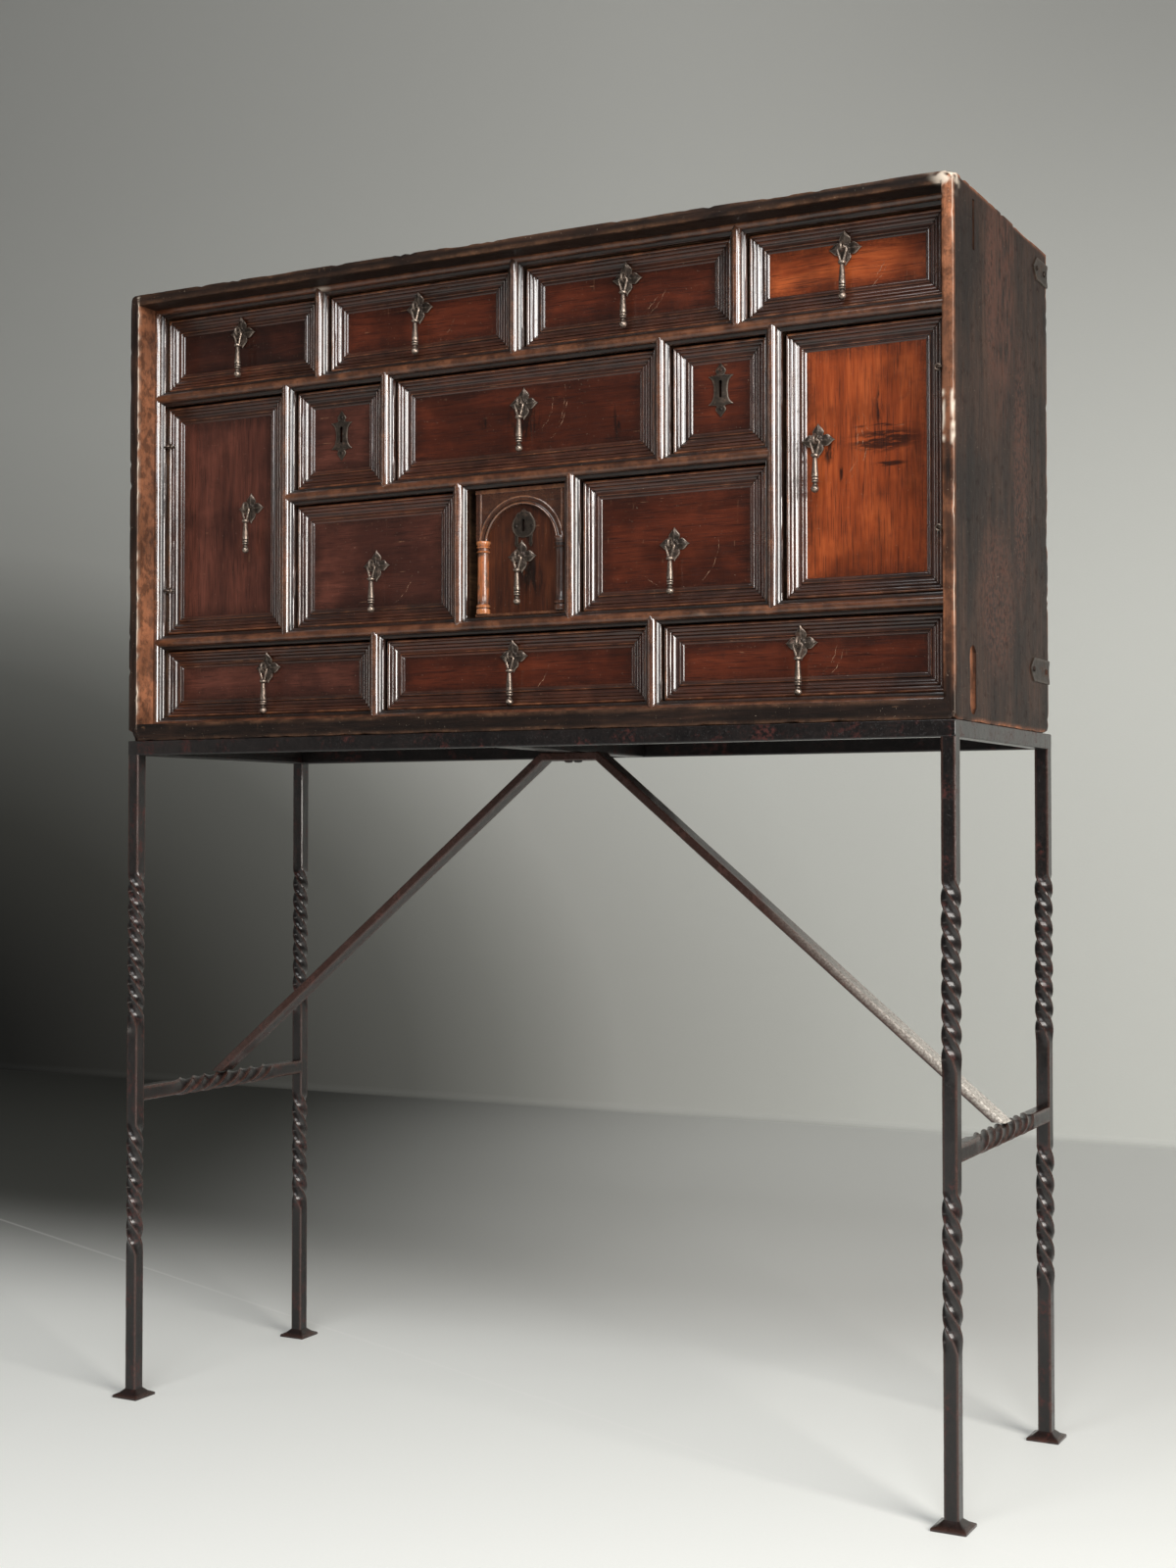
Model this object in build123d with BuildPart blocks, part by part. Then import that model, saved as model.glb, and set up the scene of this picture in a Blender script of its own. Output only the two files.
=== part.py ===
from build123d import *
import math
import os

os.makedirs("parts", exist_ok=True)

# A table cabinet of drawers on an open iron stand.
# Frame: origin on the floor under the middle of the stand, X to the right,
# Y to the back, Z up. Lengths are millimetres and angles degrees.

# Case
case_width = 1080.0
case_depth = 358.0
case_height = 566.0
case_board = 13.0
case_floor = 21.0
case_back = 10.0
rear_corner_radius = 20.0
front_setback = 46.0

# Stand
stand_height = 822.5
stand_depth = 368.0
bar = 16.0
rail_depth = 18.0
foot_side = 38.0
foot_edge = 3.0
foot_height = 10.0
upper_twist_low = 470.0
upper_twist_high = 657.0
upper_twist_turn = -720.0
lower_twist_low = 183.0
lower_twist_high = 340.0
lower_twist_turn = -540.0
stretcher_mid_z = 378.0
stretcher_twist_half = 100.0
stretcher_twist_turn = -720.0
brace_width = 26.0
brace_thickness = 10.0
brace_reach = 40.0
rivet_x = 6.5
rivet_radius = 3.0
rivet_head_radius = 5.5
rivet_head_height = 2.2

# Nest of boards inside the case
liner = 10.0
shelf = 14.0
strip_width = 19.0
strip_projection = 14.0
strip_side = 6.0
strip_fillet = 8.3
strip_neck = 5.6
rail_low_z = 949.0
rail_mid_z = 1120.0
rail_high_z = 1261.5
tall_divider_x = 324.0
top_dividers = (-275.0, 0.0, 282.0)
middle_dividers = (-178.0, 189.0)
portal_divider_x = 75.0
bottom_dividers = (-192.0, 178.0)

# Drawers and doors
front_gap = 1.2
runner_gap = 0.3
door_gap = 2.5
portal_gap = 8.5
panel_sink = 6.0
front_board = 12.0
door_board = 8.0
moulding_width = 22.2
box_side = 8.0
box_floor = 5.0
box_side_drop = 4.0
box_back_gap = 6.0

# Pulls
lobe_reach = 19.0
lobe_width = 13.0
lobe_root = 4.0
plate_gauge = 1.2
hub_radius = 7.5
hub_height = 2.4
boss_height = 1.4
bedding_lift = 1.4
bedding_tilt = 14.0
edge_lift = 2.2
eye_radius = 4.5
eye_wire = 1.6
eye_proud = 7.0
shank_radius = 1.5
hole_clearance = 0.05
drop_wire = 1.4
drop_play = 0.2
stirrup_half = 5.5
collar_z = 15.0
collar_radius = 4.5
collar_height = 3.5
shaft_top_radius = 2.5
shaft_foot_radius = 3.8
shaft_foot_z = 44.0
ball_radius = 4.25
drop_length = 56.7

# Hinges: one eye in the moulding, its fellow in the door front
hinge_inset = 4.4
hinge_proud = 4.6
hinge_eye_radius = 2.9
hinge_wire = 1.25
hinge_shank = 1.3
left_hinge_z = (1201.0, 1016.0)
right_hinge_z = (1195.0, 1026.0)

# Portal door
portal_axis_x = 55.8
portal_axis_back = 4.0
portal_board = 6.5
portal_column_x = -48.5
arch_centre_x = 3.65
arch_radius = 46.5
arch_spring_z = 1043.0
capital_top_z = 1048.7
pin_radius = 2.0
pin_reach = 8.0

# Locks
lock_width = 44.0
lock_height = 40.0
lock_depth = 7.0

# Levels and planes that follow from the sizes above
half_width = case_width / 2
front_y = -stand_depth / 2
back_y = front_y + case_depth
floor_z = stand_height + case_floor
top_z = stand_height + case_height
ceiling_z = top_z - case_board
wall_x = half_width - case_board
nest_front_y = front_y + front_setback
nest_back_y = back_y - case_back
panel_y = nest_front_y + panel_sink
drawer_inner_y = panel_y + front_board
door_inner_y = panel_y + door_board
portal_inner_y = panel_y + portal_board
half_strip = strip_width / 2
wall_line_x = wall_x - liner + half_strip
floor_line_z = floor_z + liner - half_strip
top_line_z = ceiling_z - liner + half_strip
shelf_rise = half_strip
shelf_fall = shelf - half_strip
liner_face_x = wall_x - liner
liner_top_z = floor_z + liner
liner_ceiling_z = ceiling_z - liner
pivot_y = nest_front_y - eye_proud
hinge_x = liner_face_x - hinge_inset
hinge_y = nest_front_y - hinge_proud
portal_axis_y = nest_front_y + portal_axis_back


def board(x_low, x_high, y_low, y_high, z_low, z_high):
    """A plain board between six planes."""
    with BuildPart() as piece:
        with BuildSketch(Plane.XY.offset(z_low)):
            with Locations(((x_low + x_high) / 2, (y_low + y_high) / 2)):
                Rectangle(x_high - x_low, y_high - y_low)
        extrude(amount=z_high - z_low)
    return piece.part


def save(label, pieces):
    """One node of the assembly: its separate solids, kept apart."""
    solids = [solid for piece in pieces for solid in piece.solids()]
    node = Compound(children=solids) if len(solids) > 1 else solids[0]
    node.label = label
    export_step(node, f"parts/{label}.step")


def face_outline(points):
    """A polygon in the XZ plane given as (x, z) corners."""
    with BuildSketch(Plane.XZ) as outline:
        with BuildLine():
            Polyline(*points, close=True)
        make_face()
    return outline.sketch


# ---------------------------------------------------------------- case boards

def case_plank(corners):
    """A mitred board of the case, its lower rear corner rounded with the case."""
    with BuildPart() as plank:
        with BuildSketch(Plane.XZ.offset(-back_y)):
            add(face_outline(corners))
        extrude(amount=case_depth)
        with BuildSketch(Plane.YZ.offset(-half_width)) as side_view:
            with Locations(((front_y + back_y) / 2, (stand_height + top_z) / 2)):
                Rectangle(case_depth, case_height)
            fillet(side_view.vertices().sort_by(Axis.Y)[0:2].sort_by(Axis.X)[-1], rear_corner_radius)
        extrude(amount=case_width, mode=Mode.INTERSECT)
    return plank.part


outer_low_left = (-half_width, stand_height)
outer_low_right = (half_width, stand_height)
outer_top_left = (-half_width, top_z)
outer_top_right = (half_width, top_z)
inner_low_left = (-wall_x, floor_z)
inner_low_right = (wall_x, floor_z)
inner_top_left = (-wall_x, ceiling_z)
inner_top_right = (wall_x, ceiling_z)

# The right side carries two shallow old mortises near its front edge.
mortise_depth = 3.0
lower_mortise_y = -122.0
lower_mortise_width = 22.0
lower_mortise_z = (830.0, 903.0)
upper_mortise_y = -114.0
upper_mortise_width = 7.0
upper_mortise_height = 54.0

with BuildPart() as case_top:
    add(case_plank([outer_top_left, outer_top_right, inner_top_right, inner_top_left]))

with BuildPart() as case_bottom:
    add(case_plank([outer_low_left, outer_low_right, inner_low_right, inner_low_left]))

with BuildPart() as case_left_side:
    add(case_plank([outer_low_left, inner_low_left, inner_top_left, outer_top_left]))

with BuildPart() as case_right_side:
    add(case_plank([outer_low_right, inner_low_right, inner_top_right, outer_top_right]))
    with BuildSketch(Plane.YZ.offset(half_width)):
        mortise_low, mortise_high = lower_mortise_z
        with Locations((lower_mortise_y, (mortise_low + mortise_high) / 2)):
            SlotOverall(mortise_high - mortise_low, lower_mortise_width, rotation=90)
        with Locations((upper_mortise_y, top_z - case_board - upper_mortise_height / 2)):
            Rectangle(upper_mortise_width, upper_mortise_height)
    extrude(amount=-mortise_depth, mode=Mode.SUBTRACT)

with BuildPart() as case_back_board:
    add(board(-wall_x, wall_x, nest_back_y, back_y, floor_z, ceiling_z))

save("case_top", [case_top])
save("case_bottom", [case_bottom])
save("case_left_side", [case_left_side])
save("case_right_side", [case_right_side])
save("case_back", [case_back_board])

# ------------------------------------------------------- iron corner straps

strap_gauge = 1.5
upper_strap = (1348.0, 1375.0, 115.0)
lower_strap = (880.0, 908.0, 95.0)
strap_return = 60.0
strap_point = 14.0
nail_head_radius = 3.0
nail_head_height = 1.2


def corner_strap(z_low, z_high, reach_y):
    """A nailed strap on the right side, pointed at its front end, bent round the back."""
    middle_z = (z_low + z_high) / 2
    with BuildPart() as strap:
        with BuildSketch(Plane.YZ.offset(half_width)):
            with BuildLine():
                Polyline(
                    (back_y, z_low),
                    (back_y, z_high),
                    (reach_y + strap_point, z_high),
                    (reach_y, middle_z),
                    (reach_y + strap_point, z_low),
                    close=True,
                )
            make_face()
        extrude(amount=strap_gauge)
        add(board(half_width - strap_return, half_width + strap_gauge,
                  back_y, back_y + strap_gauge, z_low, z_high))
        with BuildSketch(Plane.YZ.offset(half_width + strap_gauge)):
            with Locations((reach_y + strap_point, middle_z), (back_y - strap_point, middle_z)):
                Circle(nail_head_radius)
        extrude(amount=nail_head_height, taper=30)
        with BuildSketch(Plane.XZ.offset(-back_y - strap_gauge)):
            with Locations((half_width - strap_return + strap_point, middle_z)):
                Circle(nail_head_radius)
        extrude(amount=-nail_head_height, taper=30)
    return strap.part


right_straps = [corner_strap(*upper_strap), corner_strap(*lower_strap)]
left_straps = [mirror(strap, about=Plane.YZ) for strap in right_straps]
save("corner_straps", right_straps + left_straps)

# --------------------------------------------------------- nest of boards

liners = [
    board(-wall_x, wall_x, nest_front_y, nest_back_y, floor_z, liner_top_z),
    board(-wall_x, wall_x, nest_front_y, nest_back_y, liner_ceiling_z, ceiling_z),
    board(-wall_x, -liner_face_x, nest_front_y, nest_back_y, liner_top_z, liner_ceiling_z),
    board(liner_face_x, wall_x, nest_front_y, nest_back_y, liner_top_z, liner_ceiling_z),
]
save("nest_liners", liners)

tall_face_x = tall_divider_x - shelf / 2


def pin_hole(z_low, z_high):
    """The round hole that a pivot pin of the portal door turns in."""
    with BuildPart() as hole:
        with BuildSketch(Plane.XY.offset(z_low)):
            with Locations((portal_axis_x, portal_axis_y)):
                Circle(pin_radius + hole_clearance)
        extrude(amount=z_high - z_low)
    return hole.part


def shelf_board(half_length, rail_z, hole=None):
    """A shelf whose top lies level with the upper edge of its moulding strip."""
    with BuildPart() as piece:
        add(board(-half_length, half_length, nest_front_y, nest_back_y,
                  rail_z - shelf_fall, rail_z + shelf_rise))
        if hole is not None:
            add(hole, mode=Mode.SUBTRACT)
    return piece.part


low_shelf_top_z = rail_low_z + shelf_rise
mid_shelf_low_z = rail_mid_z - shelf_fall
shelves = [
    shelf_board(liner_face_x, rail_low_z, pin_hole(low_shelf_top_z - pin_reach, low_shelf_top_z)),
    shelf_board(tall_face_x, rail_mid_z, pin_hole(mid_shelf_low_z, mid_shelf_low_z + pin_reach)),
    shelf_board(liner_face_x, rail_high_z),
]
save("shelves", shelves)


def upright(centre_x, z_low, z_high):
    """A standing partition behind one divider strip."""
    return board(centre_x - shelf / 2, centre_x + shelf / 2,
                 nest_front_y, nest_back_y, z_low, z_high)


top_shelf_low_z = rail_high_z - shelf_fall
top_shelf_top_z = rail_high_z + shelf_rise
mid_shelf_top_z = rail_mid_z + shelf_rise
low_shelf_low_z = rail_low_z - shelf_fall
uprights = [upright(x, top_shelf_top_z, liner_ceiling_z) for x in top_dividers]
uprights += [upright(x, low_shelf_top_z, top_shelf_low_z) for x in (-tall_divider_x, tall_divider_x)]
uprights += [upright(x, mid_shelf_top_z, top_shelf_low_z) for x in middle_dividers]
uprights += [upright(x, low_shelf_top_z, mid_shelf_low_z)
             for x in (-portal_divider_x, portal_divider_x)]
uprights += [upright(x, liner_top_z, low_shelf_low_z) for x in bottom_dividers]
save("uprights", uprights)

# ------------------------------------------------- moulding strips on the nest

def strip_section(wall_side=0.0):
    """Section of a strip: straight sides, a cove and a half round on top.

    Local X runs across the strip and local Y out of the cabinet. With wall_side
    the left half is cut off there, for the strips that lie against the case.
    """
    with BuildSketch() as section:
        with BuildLine():
            Line((0, 0), (half_strip, 0))
            Line((half_strip, 0), (half_strip, strip_side))
            ThreePointArc((half_strip, strip_side), (half_strip - 2.4, strip_side + 0.8),
                          (strip_neck + 0.4, strip_fillet))
            Line((strip_neck + 0.4, strip_fillet), (strip_neck, strip_fillet))
            round_start = strip_projection - strip_neck
            Line((strip_neck, strip_fillet), (strip_neck, round_start))
            diagonal = strip_neck * math.sqrt(0.5)
            ThreePointArc((strip_neck, round_start), (diagonal, round_start + diagonal),
                          (0, strip_projection))
            Line((0, strip_projection), (0, 0))
        make_face()
        if wall_side:
            with Locations((-wall_side / 2, strip_projection / 2)):
                Rectangle(wall_side, strip_projection)
        else:
            mirror(about=Plane.YZ)
    return section.sketch


def notch(x, z, side):
    """The V that a pointed strip end leaves in the strip it meets."""
    step = half_strip + 1
    if side == "up":
        return [(x, z), (x + step, z + step), (x - step, z + step)]
    if side == "down":
        return [(x, z), (x - step, z - step), (x + step, z - step)]
    if side == "right":
        return [(x, z), (x + step, z - step), (x + step, z + step)]
    return [(x, z), (x - step, z + step), (x - step, z - step)]


def trimmed_strip(section_plane, length, section, outline, notches):
    """A length of strip cut to its mitred outline in the front view."""
    with BuildPart() as strip:
        with BuildSketch(section_plane):
            add(section)
        extrude(amount=length)
        with BuildSketch(Plane.XZ.offset(-nest_front_y)):
            add(face_outline(outline))
            for corners in notches:
                add(face_outline(corners), mode=Mode.SUBTRACT)
        extrude(amount=strip_projection, mode=Mode.INTERSECT)
    return strip.part


def standing_strip(x, z_low, z_high, notches=()):
    """A divider strip with a point at each end."""
    outline = [
        (x, z_low),
        (x + half_strip, z_low + half_strip),
        (x + half_strip, z_high - half_strip),
        (x, z_high),
        (x - half_strip, z_high - half_strip),
        (x - half_strip, z_low + half_strip),
    ]
    plane = Plane(origin=(x, nest_front_y, z_low), x_dir=(-1, 0, 0), z_dir=(0, 0, 1))
    return trimmed_strip(plane, z_high - z_low, strip_section(), outline, notches)


def lying_strip(z, x_half, notches):
    """A rail strip with a point at each end."""
    outline = [
        (-x_half, z),
        (-x_half + half_strip, z - half_strip),
        (x_half - half_strip, z - half_strip),
        (x_half, z),
        (x_half - half_strip, z + half_strip),
        (-x_half + half_strip, z + half_strip),
    ]
    plane = Plane(origin=(-x_half, nest_front_y, z), x_dir=(0, 0, 1), z_dir=(1, 0, 0))
    return trimmed_strip(plane, 2 * x_half, strip_section(), outline, notches)


wall_side = wall_x - wall_line_x
inner_left = (-liner_face_x, liner_top_z)
inner_right = (liner_face_x, liner_top_z)
inner_left_high = (-liner_face_x, liner_ceiling_z)
inner_right_high = (liner_face_x, liner_ceiling_z)
wall_height = ceiling_z - floor_z

left_wall_strip = trimmed_strip(
    Plane(origin=(-wall_line_x, nest_front_y, ceiling_z), x_dir=(1, 0, 0), z_dir=(0, 0, -1)),
    wall_height,
    strip_section(wall_side),
    [inner_low_left, inner_left, inner_left_high, inner_top_left],
    [notch(-wall_line_x, z, "right") for z in (rail_low_z, rail_high_z)],
)
right_wall_strip = trimmed_strip(
    Plane(origin=(wall_line_x, nest_front_y, floor_z), x_dir=(-1, 0, 0), z_dir=(0, 0, 1)),
    wall_height,
    strip_section(wall_side),
    [inner_low_right, inner_right, inner_right_high, inner_top_right],
    [notch(wall_line_x, z, "left") for z in (rail_low_z, rail_high_z)],
)
floor_strip = trimmed_strip(
    Plane(origin=(-wall_x, nest_front_y, floor_line_z), x_dir=(0, 0, 1), z_dir=(1, 0, 0)),
    2 * wall_x,
    strip_section(wall_side),
    [inner_low_left, inner_low_right, inner_right, inner_left],
    [notch(x, floor_line_z, "up") for x in bottom_dividers],
)
ceiling_strip = trimmed_strip(
    Plane(origin=(wall_x, nest_front_y, top_line_z), x_dir=(0, 0, -1), z_dir=(-1, 0, 0)),
    2 * wall_x,
    strip_section(wall_side),
    [inner_top_left, inner_top_right, inner_right_high, inner_left_high],
    [notch(x, top_line_z, "down") for x in top_dividers],
)

tall_dividers = (-tall_divider_x, tall_divider_x)
portal_dividers = (-portal_divider_x, portal_divider_x)
low_rail = lying_strip(
    rail_low_z, wall_line_x,
    [notch(x, rail_low_z, "up") for x in tall_dividers + portal_dividers]
    + [notch(x, rail_low_z, "down") for x in bottom_dividers],
)
mid_rail = lying_strip(
    rail_mid_z, tall_divider_x,
    [notch(x, rail_mid_z, "up") for x in middle_dividers]
    + [notch(x, rail_mid_z, "down") for x in portal_dividers],
)
high_rail = lying_strip(
    rail_high_z, wall_line_x,
    [notch(x, rail_high_z, "up") for x in top_dividers]
    + [notch(x, rail_high_z, "down") for x in tall_dividers + middle_dividers],
)
standing_strips = [standing_strip(x, rail_high_z, top_line_z) for x in top_dividers]
standing_strips += [
    standing_strip(-tall_divider_x, rail_low_z, rail_high_z,
                   [notch(-tall_divider_x, rail_mid_z, "right")]),
    standing_strip(tall_divider_x, rail_low_z, rail_high_z,
                   [notch(tall_divider_x, rail_mid_z, "left")]),
]
standing_strips += [standing_strip(x, rail_mid_z, rail_high_z) for x in middle_dividers]
standing_strips += [standing_strip(x, rail_low_z, rail_mid_z) for x in portal_dividers]
standing_strips += [standing_strip(x, floor_line_z, rail_low_z) for x in bottom_dividers]

# ------------------------------------------------------------ hinge eyes

shank_depth = 6.0


def wire_shank(start, direction, radius, length):
    """A round shank from a point along a direction."""
    with BuildPart() as shank:
        with BuildSketch(Plane(origin=start, z_dir=direction)):
            Circle(radius)
        extrude(amount=length)
    return shank.part


def ring(centre, normal, radius, wire):
    """A closed eye of round wire."""
    with BuildPart() as eye:
        Torus(radius, wire, align=(Align.CENTER, Align.CENTER, Align.CENTER))
    return Plane(origin=centre, z_dir=normal) * eye.part


def case_eye(side, z):
    """The flat eye driven into the wall strip; side is -1 left and 1 right."""
    shank_start = (side * (hinge_x + hinge_eye_radius), hinge_y, z)
    with BuildPart() as eye:
        add(ring((side * hinge_x, hinge_y, z), (0, 0, 1), hinge_eye_radius, hinge_wire))
        add(wire_shank(shank_start, (side, 0, 0), hinge_shank,
                       hinge_inset - hinge_eye_radius + shank_depth))
    return eye.part


def wall_holes(side, levels):
    """The holes for the shanks of the case eyes."""
    with BuildPart() as holes:
        for z in levels:
            add(wire_shank((side * liner_face_x, hinge_y, z), (side, 0, 0),
                           hinge_shank + hole_clearance, shank_depth))
    return holes.part


def bored(piece, holes):
    """A piece with its holes taken out."""
    with BuildPart() as result:
        add(piece)
        add(holes, mode=Mode.SUBTRACT)
    return result.part


left_wall_strip = bored(left_wall_strip, wall_holes(-1, left_hinge_z))
right_wall_strip = bored(right_wall_strip, wall_holes(1, right_hinge_z))
save("front_mouldings", [left_wall_strip, right_wall_strip, floor_strip, ceiling_strip,
                         low_rail, mid_rail, high_rail] + standing_strips)
save("case_hinge_eyes", [case_eye(-1, z) for z in left_hinge_z]
     + [case_eye(1, z) for z in right_hinge_z])

# ------------------------------------------------- moulded fronts and drawers

def moulding_section(plane):
    """Three reeds stepping down to a hollow, a bead and a small inner bead."""
    with BuildSketch(plane) as section:
        with BuildLine():
            Line((0, 0), (0, 4.6))
            ThreePointArc((0, 4.6), (2, panel_sink), (4, 4.6))
            ThreePointArc((4, 4.6), (6, 5.2), (8, 3.8))
            ThreePointArc((8, 3.8), (10, 4.4), (12, 3.0))
            ThreePointArc((12, 3.0), (13.6, 1.4), (16.2, 0.9))
            ThreePointArc((16.2, 0.9), (17.5, 2.1), (18.8, 0.9))
            ThreePointArc((18.8, 0.9), (20.4, 1.3), (moulding_width, 0))
            Line((moulding_width, 0), (0, 0))
        make_face()
    return section.sketch


def moulded_front(x_low, x_high, z_low, z_high, thickness):
    """A flat panel framed by a mitred moulding worked on its edges."""
    middle_x = (x_low + x_high) / 2
    with BuildPart() as front:
        add(board(x_low, x_high, panel_y, panel_y + thickness, z_low, z_high))
        with BuildLine() as edge:
            Polyline(
                (middle_x, panel_y, z_low),
                (x_high, panel_y, z_low),
                (x_high, panel_y, z_high),
                (x_low, panel_y, z_high),
                (x_low, panel_y, z_low),
                (middle_x, panel_y, z_low),
            )
        start = Plane(origin=(middle_x, panel_y, z_low), x_dir=(0, 0, 1), z_dir=(1, 0, 0))
        add(sweep(moulding_section(start), path=edge.wires()[0],
                  transition=Transition.RIGHT, mode=Mode.PRIVATE))
    return front.part


def staple_hole(x, z, inner_y):
    """The hole through a front for the shank of a pull's staple."""
    with BuildPart() as hole:
        add(wire_shank((x, panel_y, z), (0, 1, 0), shank_radius + hole_clearance,
                       inner_y - panel_y))
    return hole.part


def keyhole_outline():
    """A round eye over a straight slot, centred on the escutcheon."""
    with BuildSketch() as outline:
        with Locations((0, 3)):
            Circle(2.6)
        with Locations((0, -2)):
            Rectangle(2.6, 10)
    return outline.sketch


def key_way(x, z, inner_y):
    """The keyhole cut through a front."""
    with BuildPart() as way:
        with BuildSketch(Plane(origin=(x, panel_y, z), x_dir=(1, 0, 0), z_dir=(0, -1, 0))):
            add(keyhole_outline())
        extrude(amount=-(inner_y - panel_y))
    return way.part


class Cell:
    """The clear place behind the strips that one drawer or door closes."""

    def __init__(self, x_low, x_high, z_low, z_high):
        self.x_low = x_low + half_strip
        self.x_high = x_high - half_strip
        self.z_low = z_low + half_strip
        self.z_high = z_high - half_strip


def drawer(label, cell, holes):
    """A drawer: moulded front, two sides, back and floor."""
    x_low = cell.x_low + front_gap
    x_high = cell.x_high - front_gap
    z_low = cell.z_low + runner_gap
    z_high = cell.z_high - front_gap
    box_back_y = nest_back_y - box_back_gap
    floor_top_z = z_low + box_floor
    side_top_z = z_high - box_side_drop
    front = moulded_front(x_low, x_high, z_low, z_high, front_board)
    for hole in holes:
        front = bored(front, hole)
    inner_back_y = box_back_y - box_side
    save(label, [
        front,
        board(x_low, x_low + box_side, drawer_inner_y, box_back_y, floor_top_z, side_top_z),
        board(x_high - box_side, x_high, drawer_inner_y, box_back_y, floor_top_z, side_top_z),
        board(x_low + box_side, x_high - box_side, inner_back_y, box_back_y,
              floor_top_z, side_top_z),
        board(x_low, x_high, drawer_inner_y, box_back_y, z_low, floor_top_z),
    ])


def middle(low, high):
    """Half way between two dividers."""
    return (low + high) / 2


top_lines = (-wall_line_x,) + top_dividers + (wall_line_x,)
bottom_lines = (-wall_line_x,) + bottom_dividers + (wall_line_x,)

# Centres of the pull plates, as (x, z): in the middle of their drawers, and near the
# free edges of the doors
top_pull_z = 1336.0
bottom_pull_z = 912.2
side_pull_z = 1030.0
pull_top = [(middle(*pair), top_pull_z) for pair in zip(top_lines, top_lines[1:])]
pull_bottom = [(middle(*pair), bottom_pull_z) for pair in zip(bottom_lines, bottom_lines[1:])]
pull_wide = (middle(*middle_dividers), 1207.0)
pull_left = (middle(-tall_divider_x, -portal_divider_x), side_pull_z)
pull_right = (middle(portal_divider_x, tall_divider_x), side_pull_z)
pull_left_door = (-tall_divider_x - 63.5, 1113.6)
pull_right_door = (tall_divider_x + 48.6, 1130.6)
pull_portal = (3.0, 1028.7)
lock_left = (middle(-tall_divider_x, middle_dividers[0]), 1193.0)
lock_right = (middle(middle_dividers[1], tall_divider_x), 1198.0)
lock_portal = (5.3, 1064.0)

for number in range(4):
    drawer(
        f"drawer_top_{number + 1}",
        Cell(top_lines[number], top_lines[number + 1], rail_high_z, top_line_z),
        [staple_hole(*pull_top[number], drawer_inner_y)],
    )

for number in range(3):
    drawer(
        f"drawer_bottom_{number + 1}",
        Cell(bottom_lines[number], bottom_lines[number + 1], floor_line_z, rail_low_z),
        [staple_hole(*pull_bottom[number], drawer_inner_y)],
    )

drawer(
    "drawer_lock_left",
    Cell(-tall_divider_x, middle_dividers[0], rail_mid_z, rail_high_z),
    [key_way(*lock_left, drawer_inner_y)],
)
drawer(
    "drawer_wide",
    Cell(middle_dividers[0], middle_dividers[1], rail_mid_z, rail_high_z),
    [staple_hole(*pull_wide, drawer_inner_y)],
)
drawer(
    "drawer_lock_right",
    Cell(middle_dividers[1], tall_divider_x, rail_mid_z, rail_high_z),
    [key_way(*lock_right, drawer_inner_y)],
)
drawer(
    "drawer_left",
    Cell(-tall_divider_x, -portal_divider_x, rail_low_z, rail_mid_z),
    [staple_hole(*pull_left, drawer_inner_y)],
)
drawer(
    "drawer_right",
    Cell(portal_divider_x, tall_divider_x, rail_low_z, rail_mid_z),
    [staple_hole(*pull_right, drawer_inner_y)],
)

# ----------------------------------------------------------------- side doors

door_eye_x = hinge_x - hinge_eye_radius
door_shank_x = door_eye_x - hinge_eye_radius
door_shank_length = hinge_proud + panel_sink + door_board / 2


def door_eye(side, z):
    """The upright eye driven into a door front, linked through its case eye."""
    with BuildPart() as eye:
        add(ring((side * door_eye_x, hinge_y, z), (0, 1, 0), hinge_eye_radius, hinge_wire))
        add(wire_shank((side * door_shank_x, hinge_y, z), (0, 1, 0), hinge_shank,
                       door_shank_length))
    return eye.part


def side_door(side, levels, pull):
    """A moulded door; side is -1 for the left one and 1 for the right one."""
    cell = Cell(tall_divider_x, wall_line_x, rail_low_z, rail_high_z)
    x_edges = sorted((side * (cell.x_low + door_gap), side * (cell.x_high - front_gap)))
    leaf = moulded_front(*x_edges, cell.z_low + front_gap, cell.z_high - front_gap, door_board)
    leaf = bored(leaf, staple_hole(*pull, door_inner_y))
    for z in levels:
        leaf = bored(leaf, wire_shank((side * door_shank_x, hinge_y, z), (0, 1, 0),
                                      hinge_shank + hole_clearance, door_shank_length))
    return leaf


save("door_left", [side_door(-1, left_hinge_z, pull_left_door)])
save("door_right", [side_door(1, right_hinge_z, pull_right_door)])

# ---------------------------------------------------------------- portal door

portal_cell = Cell(-portal_divider_x, portal_divider_x, rail_low_z, rail_mid_z)
portal_left_x = portal_cell.x_low + portal_gap
portal_right_x = portal_cell.x_high - front_gap
portal_low_z = portal_cell.z_low + front_gap
portal_high_z = portal_cell.z_high - front_gap
surround_raise = 4.5
bead_width = 2.0
archivolt_width = 10.0
plinth_height = 3.5
frieze_height = 5.0


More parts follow.
